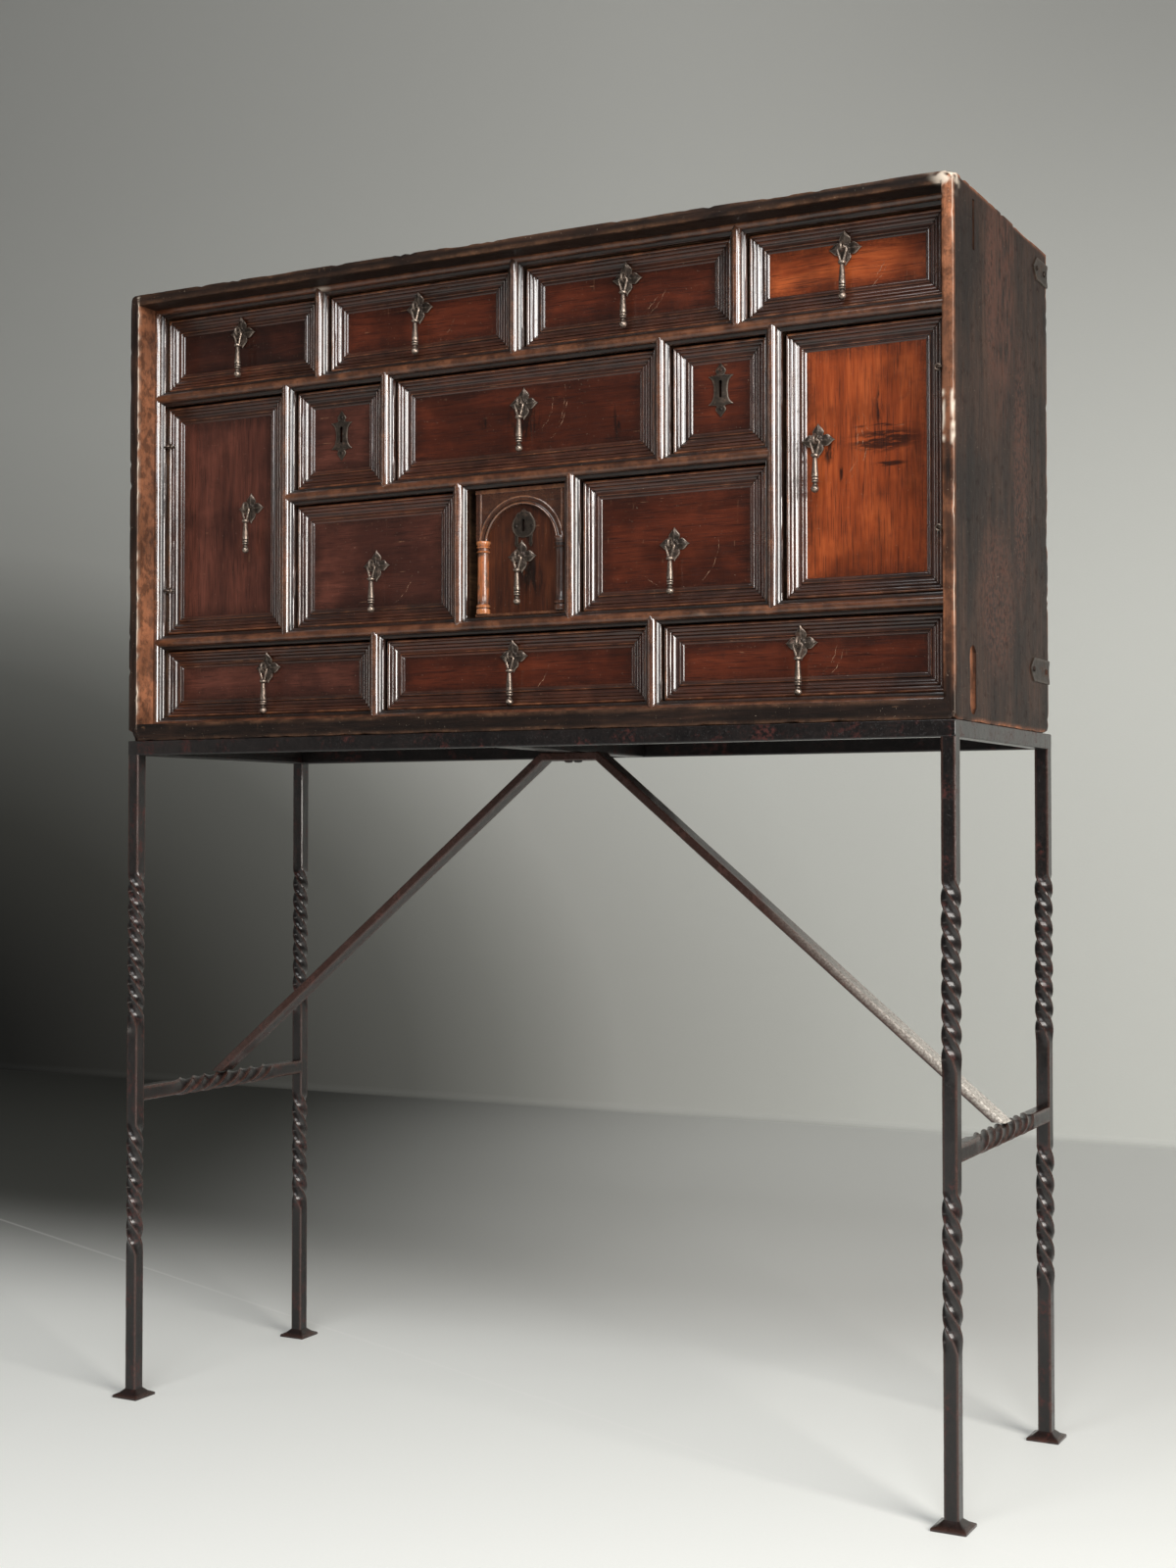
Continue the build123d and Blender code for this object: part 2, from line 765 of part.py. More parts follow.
def portal_column(x):
    """A turned column with a ringed capital and a torus base."""
    with BuildPart() as column:
        with BuildSketch(Plane(origin=(x, portal_axis_y, 0), x_dir=(1, 0, 0), z_dir=(0, -1, 0))):
            base_z = portal_low_z + plinth_height
            with BuildLine():
                Polyline((0, base_z), (8.5, base_z), (8.5, base_z + 3))
                ThreePointArc((8.5, base_z + 3), (8.3, base_z + 5), (7.2, base_z + 6))
                Line((7.2, base_z + 6), (7.2, base_z + 7))
                ThreePointArc((7.2, base_z + 7), (8.5, base_z + 8.8), (7.2, base_z + 10.6))
                Line((7.2, base_z + 10.6), (7.0, base_z + 11.5))
                Line((7.0, base_z + 11.5), (6.6, capital_top_z - 14))
                ThreePointArc((6.6, capital_top_z - 14), (8.2, capital_top_z - 12.8),
                              (6.8, capital_top_z - 11.6))
                Line((6.8, capital_top_z - 11.6), (6.8, capital_top_z - 8.5))
                ThreePointArc((6.8, capital_top_z - 8.5), (8.0, capital_top_z - 7.2),
                              (7.2, capital_top_z - 5.8))
                Polyline((7.2, capital_top_z - 5.8), (8.5, capital_top_z - 3),
                         (8.5, capital_top_z), (0, capital_top_z), (0, base_z))
            make_face()
        revolve(axis=Axis((x, portal_axis_y, 0), (0, 0, 1)))
    return column.part


def half_band(inner_radius, outer_radius):
    """A band of the arch above the capitals."""
    with BuildSketch() as band:
        with Locations((arch_centre_x, arch_spring_z)):
            Circle(outer_radius)
            Circle(inner_radius, mode=Mode.SUBTRACT)
        cut_depth = 2 * outer_radius
        with Locations((arch_centre_x, capital_top_z - cut_depth / 2)):
            Rectangle(3 * outer_radius, cut_depth, mode=Mode.SUBTRACT)
    return band.sketch


portal_plane = Plane(origin=(0, panel_y, 0), x_dir=(1, 0, 0), z_dir=(0, -1, 0))
portal_width = portal_right_x - portal_left_x
portal_middle_x = (portal_left_x + portal_right_x) / 2
with BuildPart() as portal_door:
    add(board(portal_left_x, portal_right_x, panel_y, portal_inner_y,
              portal_low_z, portal_high_z))
    fillet(portal_door.edges().filter_by(Axis.Z).sort_by(Axis.X)[-2:].sort_by(Axis.Y)[-1],
           portal_board - 0.1)
    with BuildSketch(portal_plane):
        surround_height = portal_high_z - capital_top_z
        with Locations((portal_middle_x, portal_high_z - surround_height / 2)):
            Rectangle(portal_width, surround_height)
        with Locations((arch_centre_x, arch_spring_z)):
            Circle(arch_radius, mode=Mode.SUBTRACT)
    extrude(amount=surround_raise)
    with BuildSketch(portal_plane):
        add(half_band(arch_radius, arch_radius + bead_width))
        add(half_band(arch_radius + archivolt_width - bead_width, arch_radius + archivolt_width))
        for bead_x in (portal_left_x + 6.5, portal_right_x - 6.5):
            with Locations((bead_x, (capital_top_z + 5 + portal_high_z - frieze_height) / 2)):
                Rectangle(bead_width, portal_high_z - frieze_height - capital_top_z - 5)
        with Locations((portal_middle_x, portal_high_z - frieze_height / 2)):
            Rectangle(portal_width, frieze_height)
        with Locations((portal_middle_x, portal_low_z + plinth_height / 2)):
            Rectangle(portal_width, plinth_height)
    extrude(amount=panel_sink)
    add(portal_column(portal_column_x))
    add(portal_column(portal_axis_x))
    add(staple_hole(*pull_portal, portal_inner_y), mode=Mode.SUBTRACT)
    add(key_way(*lock_portal, portal_inner_y), mode=Mode.SUBTRACT)
save("door_portal", [portal_door])

# ------------------------------------------------------- pull plates and eyes

def leaf_outline(length, width):
    """A pointed lobe along local X."""
    with BuildSketch() as outline:
        with BuildLine():
            ThreePointArc((0, 0), (length * 0.42, width / 2), (length, 0))
            ThreePointArc((length, 0), (length * 0.42, -width / 2), (0, 0))
        make_face()
    return outline.sketch


def pull_mount(x, z, inner_y, lift=0.0, tilt=0.0):
    """A four-lobed plate with the staple whose eye carries the drop.

    With lift and tilt the plate lies over the inner beads of its front, and its
    upper lobe leans out over the moulding.
    """
    back_of_plate = panel_y - lift
    plate_plane = Plane(origin=(x, back_of_plate, z), x_dir=(1, 0, 0), z_dir=(0, -1, 0))
    tilt_sine = math.sin(math.radians(tilt))
    tilt_cosine = math.cos(math.radians(tilt))
    lobe_plane = Plane(origin=(x, back_of_plate - lift / 5, z + lobe_root), x_dir=(1, 0, 0),
                       z_dir=(0, -tilt_cosine, -tilt_sine))
    lobe_length = lobe_reach - lobe_root
    boss_length = lobe_length * 0.62
    with BuildPart() as mount:
        with BuildSketch(plate_plane):
            with PolarLocations(lobe_root, 3, start_angle=180, angular_range=270):
                add(leaf_outline(lobe_length, lobe_width))
        extrude(amount=plate_gauge)
        with BuildSketch(lobe_plane):
            add(leaf_outline(lobe_length, lobe_width), rotation=90)
        extrude(amount=plate_gauge)
        with BuildSketch(plate_plane):
            Circle(hub_radius)
        extrude(amount=hub_height, taper=20)
        with BuildSketch(plate_plane.offset(plate_gauge)):
            with PolarLocations(lobe_root + 1, 3, start_angle=180, angular_range=270):
                add(leaf_outline(boss_length, lobe_width * 0.62))
        extrude(amount=boss_height, taper=35)
        with BuildSketch(lobe_plane.offset(plate_gauge)):
            with Locations((0, 1)):
                add(leaf_outline(boss_length, lobe_width * 0.62), rotation=90)
        extrude(amount=boss_height, taper=35)
        eye_back_y = pivot_y + eye_radius
        add(wire_shank((x, eye_back_y, z), (0, 1, 0), shank_radius,
                       inner_y + plate_gauge - eye_back_y))
        add(board(x - 6, x + 6, inner_y, inner_y + plate_gauge, z - 1.5, z + 1.5))
        add(ring((x, pivot_y, z), (1, 0, 0), eye_radius, eye_wire))
    return mount.part


def drop(x, z):
    """A turned drop: stirrup, collar, swelling shaft, ring and ball."""
    bar_z = z - eye_radius + eye_wire + drop_wire + drop_play
    collar_top = bar_z - collar_z
    shaft_top = collar_top - collar_height
    shaft_foot = bar_z - shaft_foot_z
    ball_z = bar_z - drop_length + ball_radius
    leg_foot_half = 2.0
    leg_run = math.hypot(stirrup_half - leg_foot_half, collar_z)
    with BuildPart() as piece:
        with BuildSketch(Plane(origin=(x - stirrup_half, pivot_y, bar_z), z_dir=(1, 0, 0))):
            Circle(drop_wire)
        extrude(amount=2 * stirrup_half)
        for side in (-1, 1):
            knuckle = (x + side * stirrup_half, pivot_y, bar_z)
            with Locations(knuckle):
                Sphere(drop_wire)
            direction = (side * (leg_foot_half - stirrup_half), 0, -collar_z)
            add(wire_shank(knuckle, direction, drop_wire, leg_run))
        with BuildSketch(Plane(origin=(x, pivot_y, 0), x_dir=(1, 0, 0), z_dir=(0, -1, 0))):
            with BuildLine():
                Polyline((0, collar_top), (3.4, collar_top), (collar_radius, collar_top - 1.2),
                         (collar_radius, shaft_top + 1), (3.2, shaft_top),
                         (shaft_top_radius, shaft_top - 1), (shaft_foot_radius, shaft_foot),
                         (3.2, shaft_foot - 1), (shaft_foot_radius, shaft_foot - 2),
                         (2.2, shaft_foot - 3))
                neck_z = ball_z + math.sqrt(ball_radius ** 2 - 2.2 ** 2)
                Line((2.2, shaft_foot - 3), (2.2, neck_z))
                ThreePointArc((2.2, neck_z), (ball_radius, ball_z), (0, ball_z - ball_radius))
                Line((0, ball_z - ball_radius), (0, collar_top))
            make_face()
        revolve(axis=Axis((x, pivot_y, 0), (0, 0, 1)))
    return piece.part


bedded = {"lift": bedding_lift, "tilt": bedding_tilt}
for number, place in enumerate(pull_top, start=1):
    save(f"pull_mount_top_{number}", [pull_mount(*place, drawer_inner_y, **bedded)])
    save(f"drop_top_{number}", [drop(*place)])
for number, place in enumerate(pull_bottom, start=1):
    save(f"pull_mount_bottom_{number}", [pull_mount(*place, drawer_inner_y, **bedded)])
    save(f"drop_bottom_{number}", [drop(*place)])
for name, place in (("wide", pull_wide), ("left", pull_left), ("right", pull_right)):
    save(f"pull_mount_{name}", [pull_mount(*place, drawer_inner_y)])
    save(f"drop_{name}", [drop(*place)])

save("door_left_ironwork", [pull_mount(*pull_left_door, door_inner_y)]
     + [door_eye(-1, z) for z in left_hinge_z])
save("drop_door_left", [drop(*pull_left_door)])
save("door_right_ironwork", [pull_mount(*pull_right_door, door_inner_y, lift=edge_lift)]
     + [door_eye(1, z) for z in right_hinge_z])
save("drop_door_right", [drop(*pull_right_door)])
save("drop_portal", [drop(*pull_portal)])

# ----------------------------------------------------- escutcheons and locks

def wall_plane(x, z):
    """A plane on the panels, local Y up, facing the front."""
    return Plane(origin=(x, panel_y, z), x_dir=(1, 0, 0), z_dir=(0, -1, 0))


def nail_heads(plane, places):
    """Low round nail heads on a plate."""
    with BuildPart() as heads:
        with BuildSketch(plane.offset(plate_gauge)):
            with Locations(*places):
                Circle(1.8)
        extrude(amount=0.8, taper=30)
    return heads.part


def lock_case(x, z, inner_y, width, height):
    """The iron lock box nailed behind a front."""
    return board(x - width / 2, x + width / 2, inner_y, inner_y + lock_depth,
                 z - height / 2, z + height / 2)


escutcheon_half_height = 30.3


def tall_escutcheon(x, z):
    """A pierced plate with pointed ends and four pointed wings."""
    plane = wall_plane(x, z)
    with BuildPart() as plate:
        with BuildSketch(plane):
            Ellipse(8.5, 17)
            for side in (1, -1):
                with Locations(Location((0, side * 12.5), side * 90)):
                    add(leaf_outline(escutcheon_half_height - 12.5, 10))
            for angle in (35, 145, 215, 325):
                with Locations(Location((0, 7 if angle < 180 else -7), angle)):
                    add(leaf_outline(19.5, 9))
            add(keyhole_outline(), mode=Mode.SUBTRACT)
        extrude(amount=plate_gauge)
        add(nail_heads(plane, [(0, 22), (0, -22)]))
    return plate.part


def portal_escutcheon(x, z):
    """An oval pierced plate with three points above and two tails below."""
    plane = wall_plane(x, z)
    with BuildPart() as plate:
        with BuildSketch(plane):
            Ellipse(15.5, 13)
            for lobe_x, angle, reach in ((0, 90, 21), (-7, 112, 18), (7, 68, 18)):
                with Locations(Location((lobe_x * 0.6, 0), angle)):
                    add(leaf_outline(reach, 9))
            for tail_x in (-9.5, 9.5):
                with Locations((tail_x, -15.5)):
                    Rectangle(4.5, 17)
            add(keyhole_outline(), mode=Mode.SUBTRACT)
        extrude(amount=plate_gauge)
        add(nail_heads(plane, [(-10.5, 0), (10.5, 0)]))
    return plate.part


for name, place in (("left", lock_left), ("right", lock_right)):
    save(f"lock_{name}", [tall_escutcheon(*place),
                          lock_case(*place, drawer_inner_y, lock_width, lock_height)])


def pivot_pin(z_low, z_high):
    """A pin on the turning axis of the portal door."""
    return wire_shank((portal_axis_x, portal_axis_y, z_low), (0, 0, 1), pin_radius,
                      z_high - z_low)


save("door_portal_ironwork", [
    pull_mount(*pull_portal, portal_inner_y),
    portal_escutcheon(*lock_portal),
    lock_case(*lock_portal, portal_inner_y, 30.0, 26.0),
    pivot_pin(low_shelf_top_z - pin_reach + 0.5, portal_low_z),
    pivot_pin(portal_high_z, mid_shelf_low_z + pin_reach - 0.5),
])

# ---------------------------------------------------------------- iron stand

rail_low = stand_height - rail_depth
inner_rail_y = stand_depth / 2 - bar
leg_x = half_width - bar / 2
leg_y = stand_depth / 2 - bar / 2
corner_places = [(side_x * leg_x, side_y * leg_y) for side_x in (-1, 1) for side_y in (-1, 1)]


top_frame = [
    board(-half_width, half_width, -stand_depth / 2, -inner_rail_y, rail_low, stand_height),
    board(-half_width, half_width, inner_rail_y, stand_depth / 2, rail_low, stand_height),
    board(-half_width, -half_width + bar, -inner_rail_y, inner_rail_y, rail_low, stand_height),
    board(half_width - bar, half_width, -inner_rail_y, inner_rail_y, rail_low, stand_height),
]


def twisted(section, origin, direction, length, turn):
    """A bar twisted about its own middle line."""
    run = Vector(*direction) * length
    return Solid.extrude_linear_with_rotation(section.faces()[0], origin, run, turn)


def leg(x, y):
    """A square leg with an upper and a lower twisted length."""
    def square(z):
        with BuildSketch(Plane.XY.offset(z)) as section:
            with Locations((x, y)):
                Rectangle(bar, bar)
        return section.sketch

    lower = twisted(square(lower_twist_low), (x, y, lower_twist_low), (0, 0, 1),
                    lower_twist_high - lower_twist_low, lower_twist_turn)
    upper = twisted(square(upper_twist_low), (x, y, upper_twist_low), (0, 0, 1),
                    upper_twist_high - upper_twist_low, upper_twist_turn)
    with BuildPart() as piece:
        for z_low, z_high in ((foot_height, lower_twist_low),
                              (lower_twist_high, upper_twist_low),
                              (upper_twist_high, rail_low)):
            add(board(x - bar / 2, x + bar / 2, y - bar / 2, y + bar / 2, z_low, z_high))
        add(lower)
        add(upper)
    return piece.part


def foot(x, y):
    """A square plate under a leg, rising as a low pyramid."""
    with BuildPart() as piece:
        with BuildSketch():
            with Locations((x, y)):
                Rectangle(foot_side, foot_side)
        extrude(amount=foot_edge)
        with BuildSketch(Plane.XY.offset(foot_edge)):
            with Locations((x, y)):
                Rectangle(foot_side, foot_side)
        with BuildSketch(Plane.XY.offset(foot_height)):
            with Locations((x, y)):
                Rectangle(bar, bar)
        loft()
    return piece.part


save("stand_legs", [leg(x, y) for x, y in corner_places])
save("stand_feet", [foot(x, y) for x, y in corner_places])

stretcher_half = stand_depth / 2 - bar


def stretcher(x):
    """A rail between the front and back legs, twisted over its middle length."""
    z_low = stretcher_mid_z - rail_depth / 2
    z_high = stretcher_mid_z + rail_depth / 2
    with BuildSketch(Plane(origin=(x, -stretcher_twist_half, stretcher_mid_z),
                           x_dir=(1, 0, 0), z_dir=(0, 1, 0))) as section:
        Rectangle(bar, rail_depth)
    middle = twisted(section.sketch, (x, -stretcher_twist_half, stretcher_mid_z), (0, 1, 0),
                     2 * stretcher_twist_half, stretcher_twist_turn)
    with BuildPart() as piece:
        for y_low, y_high in ((-stretcher_half, -stretcher_twist_half),
                              (stretcher_twist_half, stretcher_half)):
            add(board(x - bar / 2, x + bar / 2, y_low, y_high, z_low, z_high))
        add(middle)
    return piece.part


save("stand_stretchers", [stretcher(-leg_x), stretcher(leg_x)])

# Braces: flat bars from the stretchers to the bearer under the middle of the case
ridge_radius = math.hypot(bar, rail_depth) / 2
brace_foot_z = stretcher_mid_z + ridge_radius
brace_foot_x = half_width


def rivet_shank(x, clearance=0.0):
    """A rivet's shank through the bearer and the brace pad under it."""
    return wire_shank((x, 0, rail_low - brace_thickness), (0, 0, 1),
                      rivet_radius + clearance, rail_depth + brace_thickness)


def brace(side):
    """A flat diagonal bar with its upper end bent level under the bearer."""
    slope = math.atan2(rail_low - brace_foot_z, brace_foot_x - brace_reach)
    foot_run = brace_thickness / math.sin(slope)
    bend_shift = brace_thickness / math.tan(slope) - foot_run
    pad_z = rail_low - brace_thickness
    with BuildPart() as piece:
        with BuildSketch(Plane.XZ.offset(-brace_width / 2)):
            with BuildLine():
                Polyline(
                    (side * brace_foot_x, brace_foot_z),
                    (side * brace_reach, rail_low),
                    (0, rail_low),
                    (0, pad_z),
                    (side * (brace_reach + bend_shift), pad_z),
                    (side * (brace_foot_x - foot_run), brace_foot_z),
                    close=True,
                )
            make_face()
        extrude(amount=brace_width)
        add(rivet_shank(side * rivet_x, hole_clearance), mode=Mode.SUBTRACT)
    return piece.part


def rivet(x):
    """A round-headed rivet, its upper end flush with the bearer."""
    with BuildPart() as piece:
        add(rivet_shank(x))
        with BuildSketch(Plane.XY.offset(rail_low - brace_thickness)):
            with Locations((x, 0)):
                Circle(rivet_head_radius)
        extrude(amount=-rivet_head_height, taper=35)
    return piece.part


bearer = board(-brace_width / 2, brace_width / 2, -inner_rail_y, inner_rail_y,
               rail_low, stand_height)
for x in (-rivet_x, rivet_x):
    bearer = bored(bearer, rivet_shank(x, hole_clearance))
save("stand_top_frame", top_frame + [bearer])
save("stand_braces", [brace(-1), brace(1)])
save("brace_rivets", [rivet(-rivet_x), rivet(rivet_x)])
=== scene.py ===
import math

import bpy
import numpy as np
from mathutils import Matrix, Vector, noise


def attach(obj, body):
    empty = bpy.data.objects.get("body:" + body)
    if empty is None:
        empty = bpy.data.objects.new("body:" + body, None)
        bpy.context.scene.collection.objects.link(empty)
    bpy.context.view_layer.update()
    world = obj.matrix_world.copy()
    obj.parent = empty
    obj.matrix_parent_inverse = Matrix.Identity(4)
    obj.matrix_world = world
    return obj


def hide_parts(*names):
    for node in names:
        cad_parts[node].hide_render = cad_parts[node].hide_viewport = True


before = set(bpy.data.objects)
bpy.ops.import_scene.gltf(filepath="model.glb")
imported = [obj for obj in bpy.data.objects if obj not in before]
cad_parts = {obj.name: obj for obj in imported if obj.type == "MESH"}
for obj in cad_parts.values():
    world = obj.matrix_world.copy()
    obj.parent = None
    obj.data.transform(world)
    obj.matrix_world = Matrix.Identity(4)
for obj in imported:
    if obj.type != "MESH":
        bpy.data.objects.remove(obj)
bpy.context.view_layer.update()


# ---------------------------------------------------------------- Case boards
# The case is four walnut boards mitred at their corners: a top, a bottom and two sides.
# The old varnish is worn through on every arris, and the rear lower corners are rounded off.
# The front of the left board's reveal is painted light, and a painted highlight runs down the right front
# arris.

mm = 0.001
half_width = 540.0
front_y, back_y = -184.0, 174.0
low_z, top_z = 822.5, 1388.5
board, floor_board = 13.0, 21.0
wall_x = half_width - board
floor_z, ceiling_z = low_z + floor_board, top_z - board
case_arris = 1.0
case_step = 6.0
thin_side, thin_step = 30.0, 0.9
crease = math.radians(34)
full_turn = 2 * math.pi


def handed_over(name, mesh, body, nodes):
    """Makes a finished mesh a piece, which rides on a body and may stand in for nodes."""
    mesh.shade_smooth()
    mesh.set_sharp_from_angle(angle=crease)
    mesh.update()
    made = bpy.data.objects.new(name, mesh)
    bpy.context.scene.collection.objects.link(made)
    if nodes:
        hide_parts(*nodes)
    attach(made, body)
    return made


class Work:
    """Points and faces of one piece in millimetres, gathered part by part."""

    def __init__(self):
        self.points, self.faces, self.finish_of = [], [], []
        self.marks = {"worn": [], "deep": [], "bare": []}

    def add(self, points, faces, finish=0, **marks):
        base = len(self.points)
        self.points.extend(map(tuple, points))
        self.faces.extend(tuple(base + i for i in face) for face in faces)
        self.finish_of.extend([finish] * len(faces) if isinstance(finish, int) else finish)
        for name, kept in self.marks.items():
            given = marks.get(name, 0.0)
            kept.extend(given if hasattr(given, "__len__") else [given] * len(points))

    def piece(self, name, finishes, body, slot, nodes):
        mesh = bpy.data.meshes.new(name)
        mesh.from_pydata((np.array(self.points) * mm).tolist(), [], self.faces)
        for finish in finishes:
            mesh.materials.append(finish)
        mesh.polygons.foreach_set("material_index", self.finish_of)
        for mark, values in self.marks.items():
            if any(values):
                layer = mesh.attributes.new(mark, "FLOAT", "POINT")
                layer.data.foreach_set("value", np.array(values, np.float32))
        return handed_over(name, mesh, body, nodes)


def lump(*place):
    """Smooth noise from -1 to 1 at one place."""
    return noise.noise(Vector(place))


def roughness_of(points, size, seed):
    """Smooth noise from -1 to 1 at points, with lumps of about that size."""
    return np.array([noise.noise(Vector(p) / size + Vector((seed, 3.7 * seed, 1.3))) for p in points])


def rise(values, low, high):
    """0 at low and 1 at high, smooth between."""
    t = np.clip((np.asarray(values, float) - low) / (high - low), 0.0, 1.0)
    return t * t * (3 - 2 * t)


def skin(rings, caps=True):
    """Faces between closed rings of points, with an end face on each end."""
    count, around = rings.shape[:2]
    faces = [(i + j, i + (j + 1) % around, i + around + (j + 1) % around, i + around + j)
             for i in range(0, (count - 1) * around, around) for j in range(around)]
    if caps:
        faces += [tuple(range(around))[::-1], tuple(range((count - 1) * around, count * around))]
    return rings.reshape(-1, 3), faces


def board_outline(a_low, a_high, b_low, b_high, arris, step):
    """A rectangle with eased corners, its sides divided into short lengths, the thin ones finer."""
    corners = ((a_high - arris, b_low + arris, -90), (a_high - arris, b_high - arris, 0),
               (a_low + arris, b_high - arris, 90), (a_low + arris, b_low + arris, 180))
    eased = [[(a + arris * math.cos(math.radians(start + turn)),
               b + arris * math.sin(math.radians(start + turn))) for turn in (0, 30, 60, 90)]
             for a, b, start in corners]
    outline = []
    for corner, following in zip(eased, eased[1:] + eased[:1]):
        outline += corner
        (a, b), (a_end, b_end) = corner[-1], following[0]
        far = math.dist((a, b), (a_end, b_end))
        pieces = max(1, round(far / (step if far > thin_side else thin_step)))
        outline += [(a + (a_end - a) * k / pieces, b + (b_end - b) * k / pieces)
                    for k in range(1, pieces)]
    return outline


def worn_case(points):
    """Rubs and chips the arrises of the case, and says how worn and how bare each point is. The worn mark
    also paints light on the front of the left board's reveal, and the bare mark puts a painted highlight down
    the right front arris.
    """
    p = np.array(points)
    x, y, z = np.abs(p[:, 0]), p[:, 1], p[:, 2]
    side, front, back, low, top = half_width - x, y - front_y, back_y - y, z - low_z, top_z - z
    off_wall, at_face, sill_height = 40.0, 3.0, 14.0
    inner = np.abs(x - wall_x) + off_wall * ((z < floor_z) | (z > ceiling_z))
    sill = np.minimum(np.abs(z - floor_z), np.abs(z - ceiling_z)) + off_wall * (x > wall_x)
    near = np.min([np.hypot(a, b) for a, b in (
        (side, front), (side, back), (side, top), (side, low), (front, top), (front, low),
        (back, top), (back, low), (inner, front), (sill, front))], axis=0)
    lumps, nicks = roughness_of(p, 46.0, 2.0), roughness_of(p, 9.0, 5.0)
    depth = 0.35 + 1.1 * rise(lumps, 0.0, 0.6) + 1.9 * rise(nicks, 0.22, 0.6)
    inward = np.stack([-np.sign(p[:, 0]) * (side < at_face), (front < at_face) * 1.0 - (back < at_face),
                       (low < at_face) * 1.0 - (top < at_face)], axis=1)
    inward[(front < at_face) & (np.minimum(inner, sill) < 4.0)] = (0.0, 1.0, 0.0)
    length = np.linalg.norm(inward, axis=1)
    inward[length > 0] /= length[length > 0][:, None]
    p += inward * (rise(-near, -4.0, 0.0) * depth)[:, None]
    for broken, size in (((half_width, front_y, top_z), 8.0), ((-half_width, front_y, low_z), 13.0),
                         ((-half_width, front_y, top_z), 5.0), ((half_width, front_y, low_z), 6.0)):
        out = np.sign(np.array(broken) - np.array((0.0, 0.0, (low_z + top_z) / 2)))
        centre = np.array(broken) - out * size
        d = (p - centre) * out
        reach = np.linalg.norm(np.clip(d, 0, None), axis=1)
        inside = (d.min(axis=1) > 0) & (reach > size)
        p[inside] = centre + out * d[inside] * (size / reach[inside])[:, None]
    right, left = p[:, 0] > 0, p[:, 0] < 0
    worn = np.clip(rise(-near, -6.0, 0.0) * (0.5 + 0.9 * lumps), 0, 1)
    upright_edge = (front < at_face) * rise(x, wall_x - 0.5, wall_x + 1.0) * (low > sill_height)
    right_edge = upright_edge * right * (0.12 + 0.7 * rise(z, 1080.0, 1280.0) + 0.5 * lumps)
    # Painted light: the front of the left board's inner face, the reveal, gets the rubbed colour so that it
    # looks lit.
    painted_lit_reveal = left * (np.abs(x - wall_x) < 0.6) * rise(-front, -52.0, -44.0)
    worn = np.clip(np.maximum(np.where(upright_edge * left > 0.5, 0.0, worn),
                              right_edge + painted_lit_reveal * (0.6 + 0.5 * lumps)), 0, 1)
    corner_gap = np.linalg.norm(p - np.array((half_width, front_y, top_z)), axis=1)
    right_board = p[:, 0] > wall_x
    chip = right_board & (front < 7.0) & (np.abs(z - 1134.0) < 27.0)
    # Painted highlight: a pale line down the right board's front arris, laid through the bare mark.
    painted_arris_highlight = right_board * rise(-np.hypot(side, front), -1.1, -0.3)
    pale_line = left * rise(-np.hypot(x - wall_x, front), -1.3, -0.4) * (low > sill_height)
    bare = np.max([rise(-corner_gap, -30.0, -8.0) * rise(nicks, -0.15, 0.2),
                   chip * rise(-near, -5.0, -1.0) * rise(nicks, -0.3, 0.1),
                   painted_arris_highlight * (0.15 + 0.6 * rise(lumps, -0.2, 0.4)),
                   pale_line * (0.1 + 0.7 * rise(nicks + lumps, -0.2, 0.5))], axis=0)
    return p, worn, bare


class Value:
    """A number in a finish. Sums written with it become the finish's Math nodes."""

    def __init__(self, finish, socket):
        self.finish, self.socket = finish, socket

    def __add__(self, other):
        return self.finish.sum("ADD", self, other)

    def __sub__(self, other):
        return self.finish.sum("SUBTRACT", self, other)

    def __rsub__(self, other):
        return self.finish.sum("SUBTRACT", other, self)

    def __mul__(self, other):
        return self.finish.sum("MULTIPLY", self, other)

    __radd__, __rmul__ = __add__, __mul__

    def rise(self, low, high):
        """0 at low and 1 at high, smooth between."""
        node = self.finish.node("ShaderNodeMapRange", {"interpolation_type": "SMOOTHSTEP"},
                                {"Value": self, "From Min": low, "From Max": high})
        return Value(self.finish, node.outputs["Result"])


def tone(colour):
    """A colour read as it looks, from 0 to 255, as the light that it sends back; a link stays."""
    if isinstance(colour, bpy.types.NodeSocket):
        return colour
    return tuple(((c / 255 + 0.055) / 1.055) ** 2.4 if c > 10 else c / 3294.6
                 for c in colour) + (1.0,)


class Nodes:
    """A tree that is filled by naming each node's type, its settings and its sockets."""

    def __init__(self, tree):
        self.tree = tree

    def node(self, kind, settings=None, sockets=None):
        made = self.tree.nodes.new(kind)
        for name, setting in (settings or {}).items():
            if name == "stops":
                stops = made.color_ramp.elements
                for stop, end in ((stops[0], setting[0]), (stops[1], setting[-1])):
                    stop.position, stop.color = end
                for place, colour in setting[1:-1]:
                    stops.new(place).color = colour
            else:
                setattr(made, name, setting)
        for name, value in (sockets or {}).items():
            source = value.socket if isinstance(value, Value) else value
            if isinstance(source, bpy.types.NodeSocket):
                self.tree.links.new(source, made.inputs[name])
            else:
                made.inputs[name].default_value = source
        return made


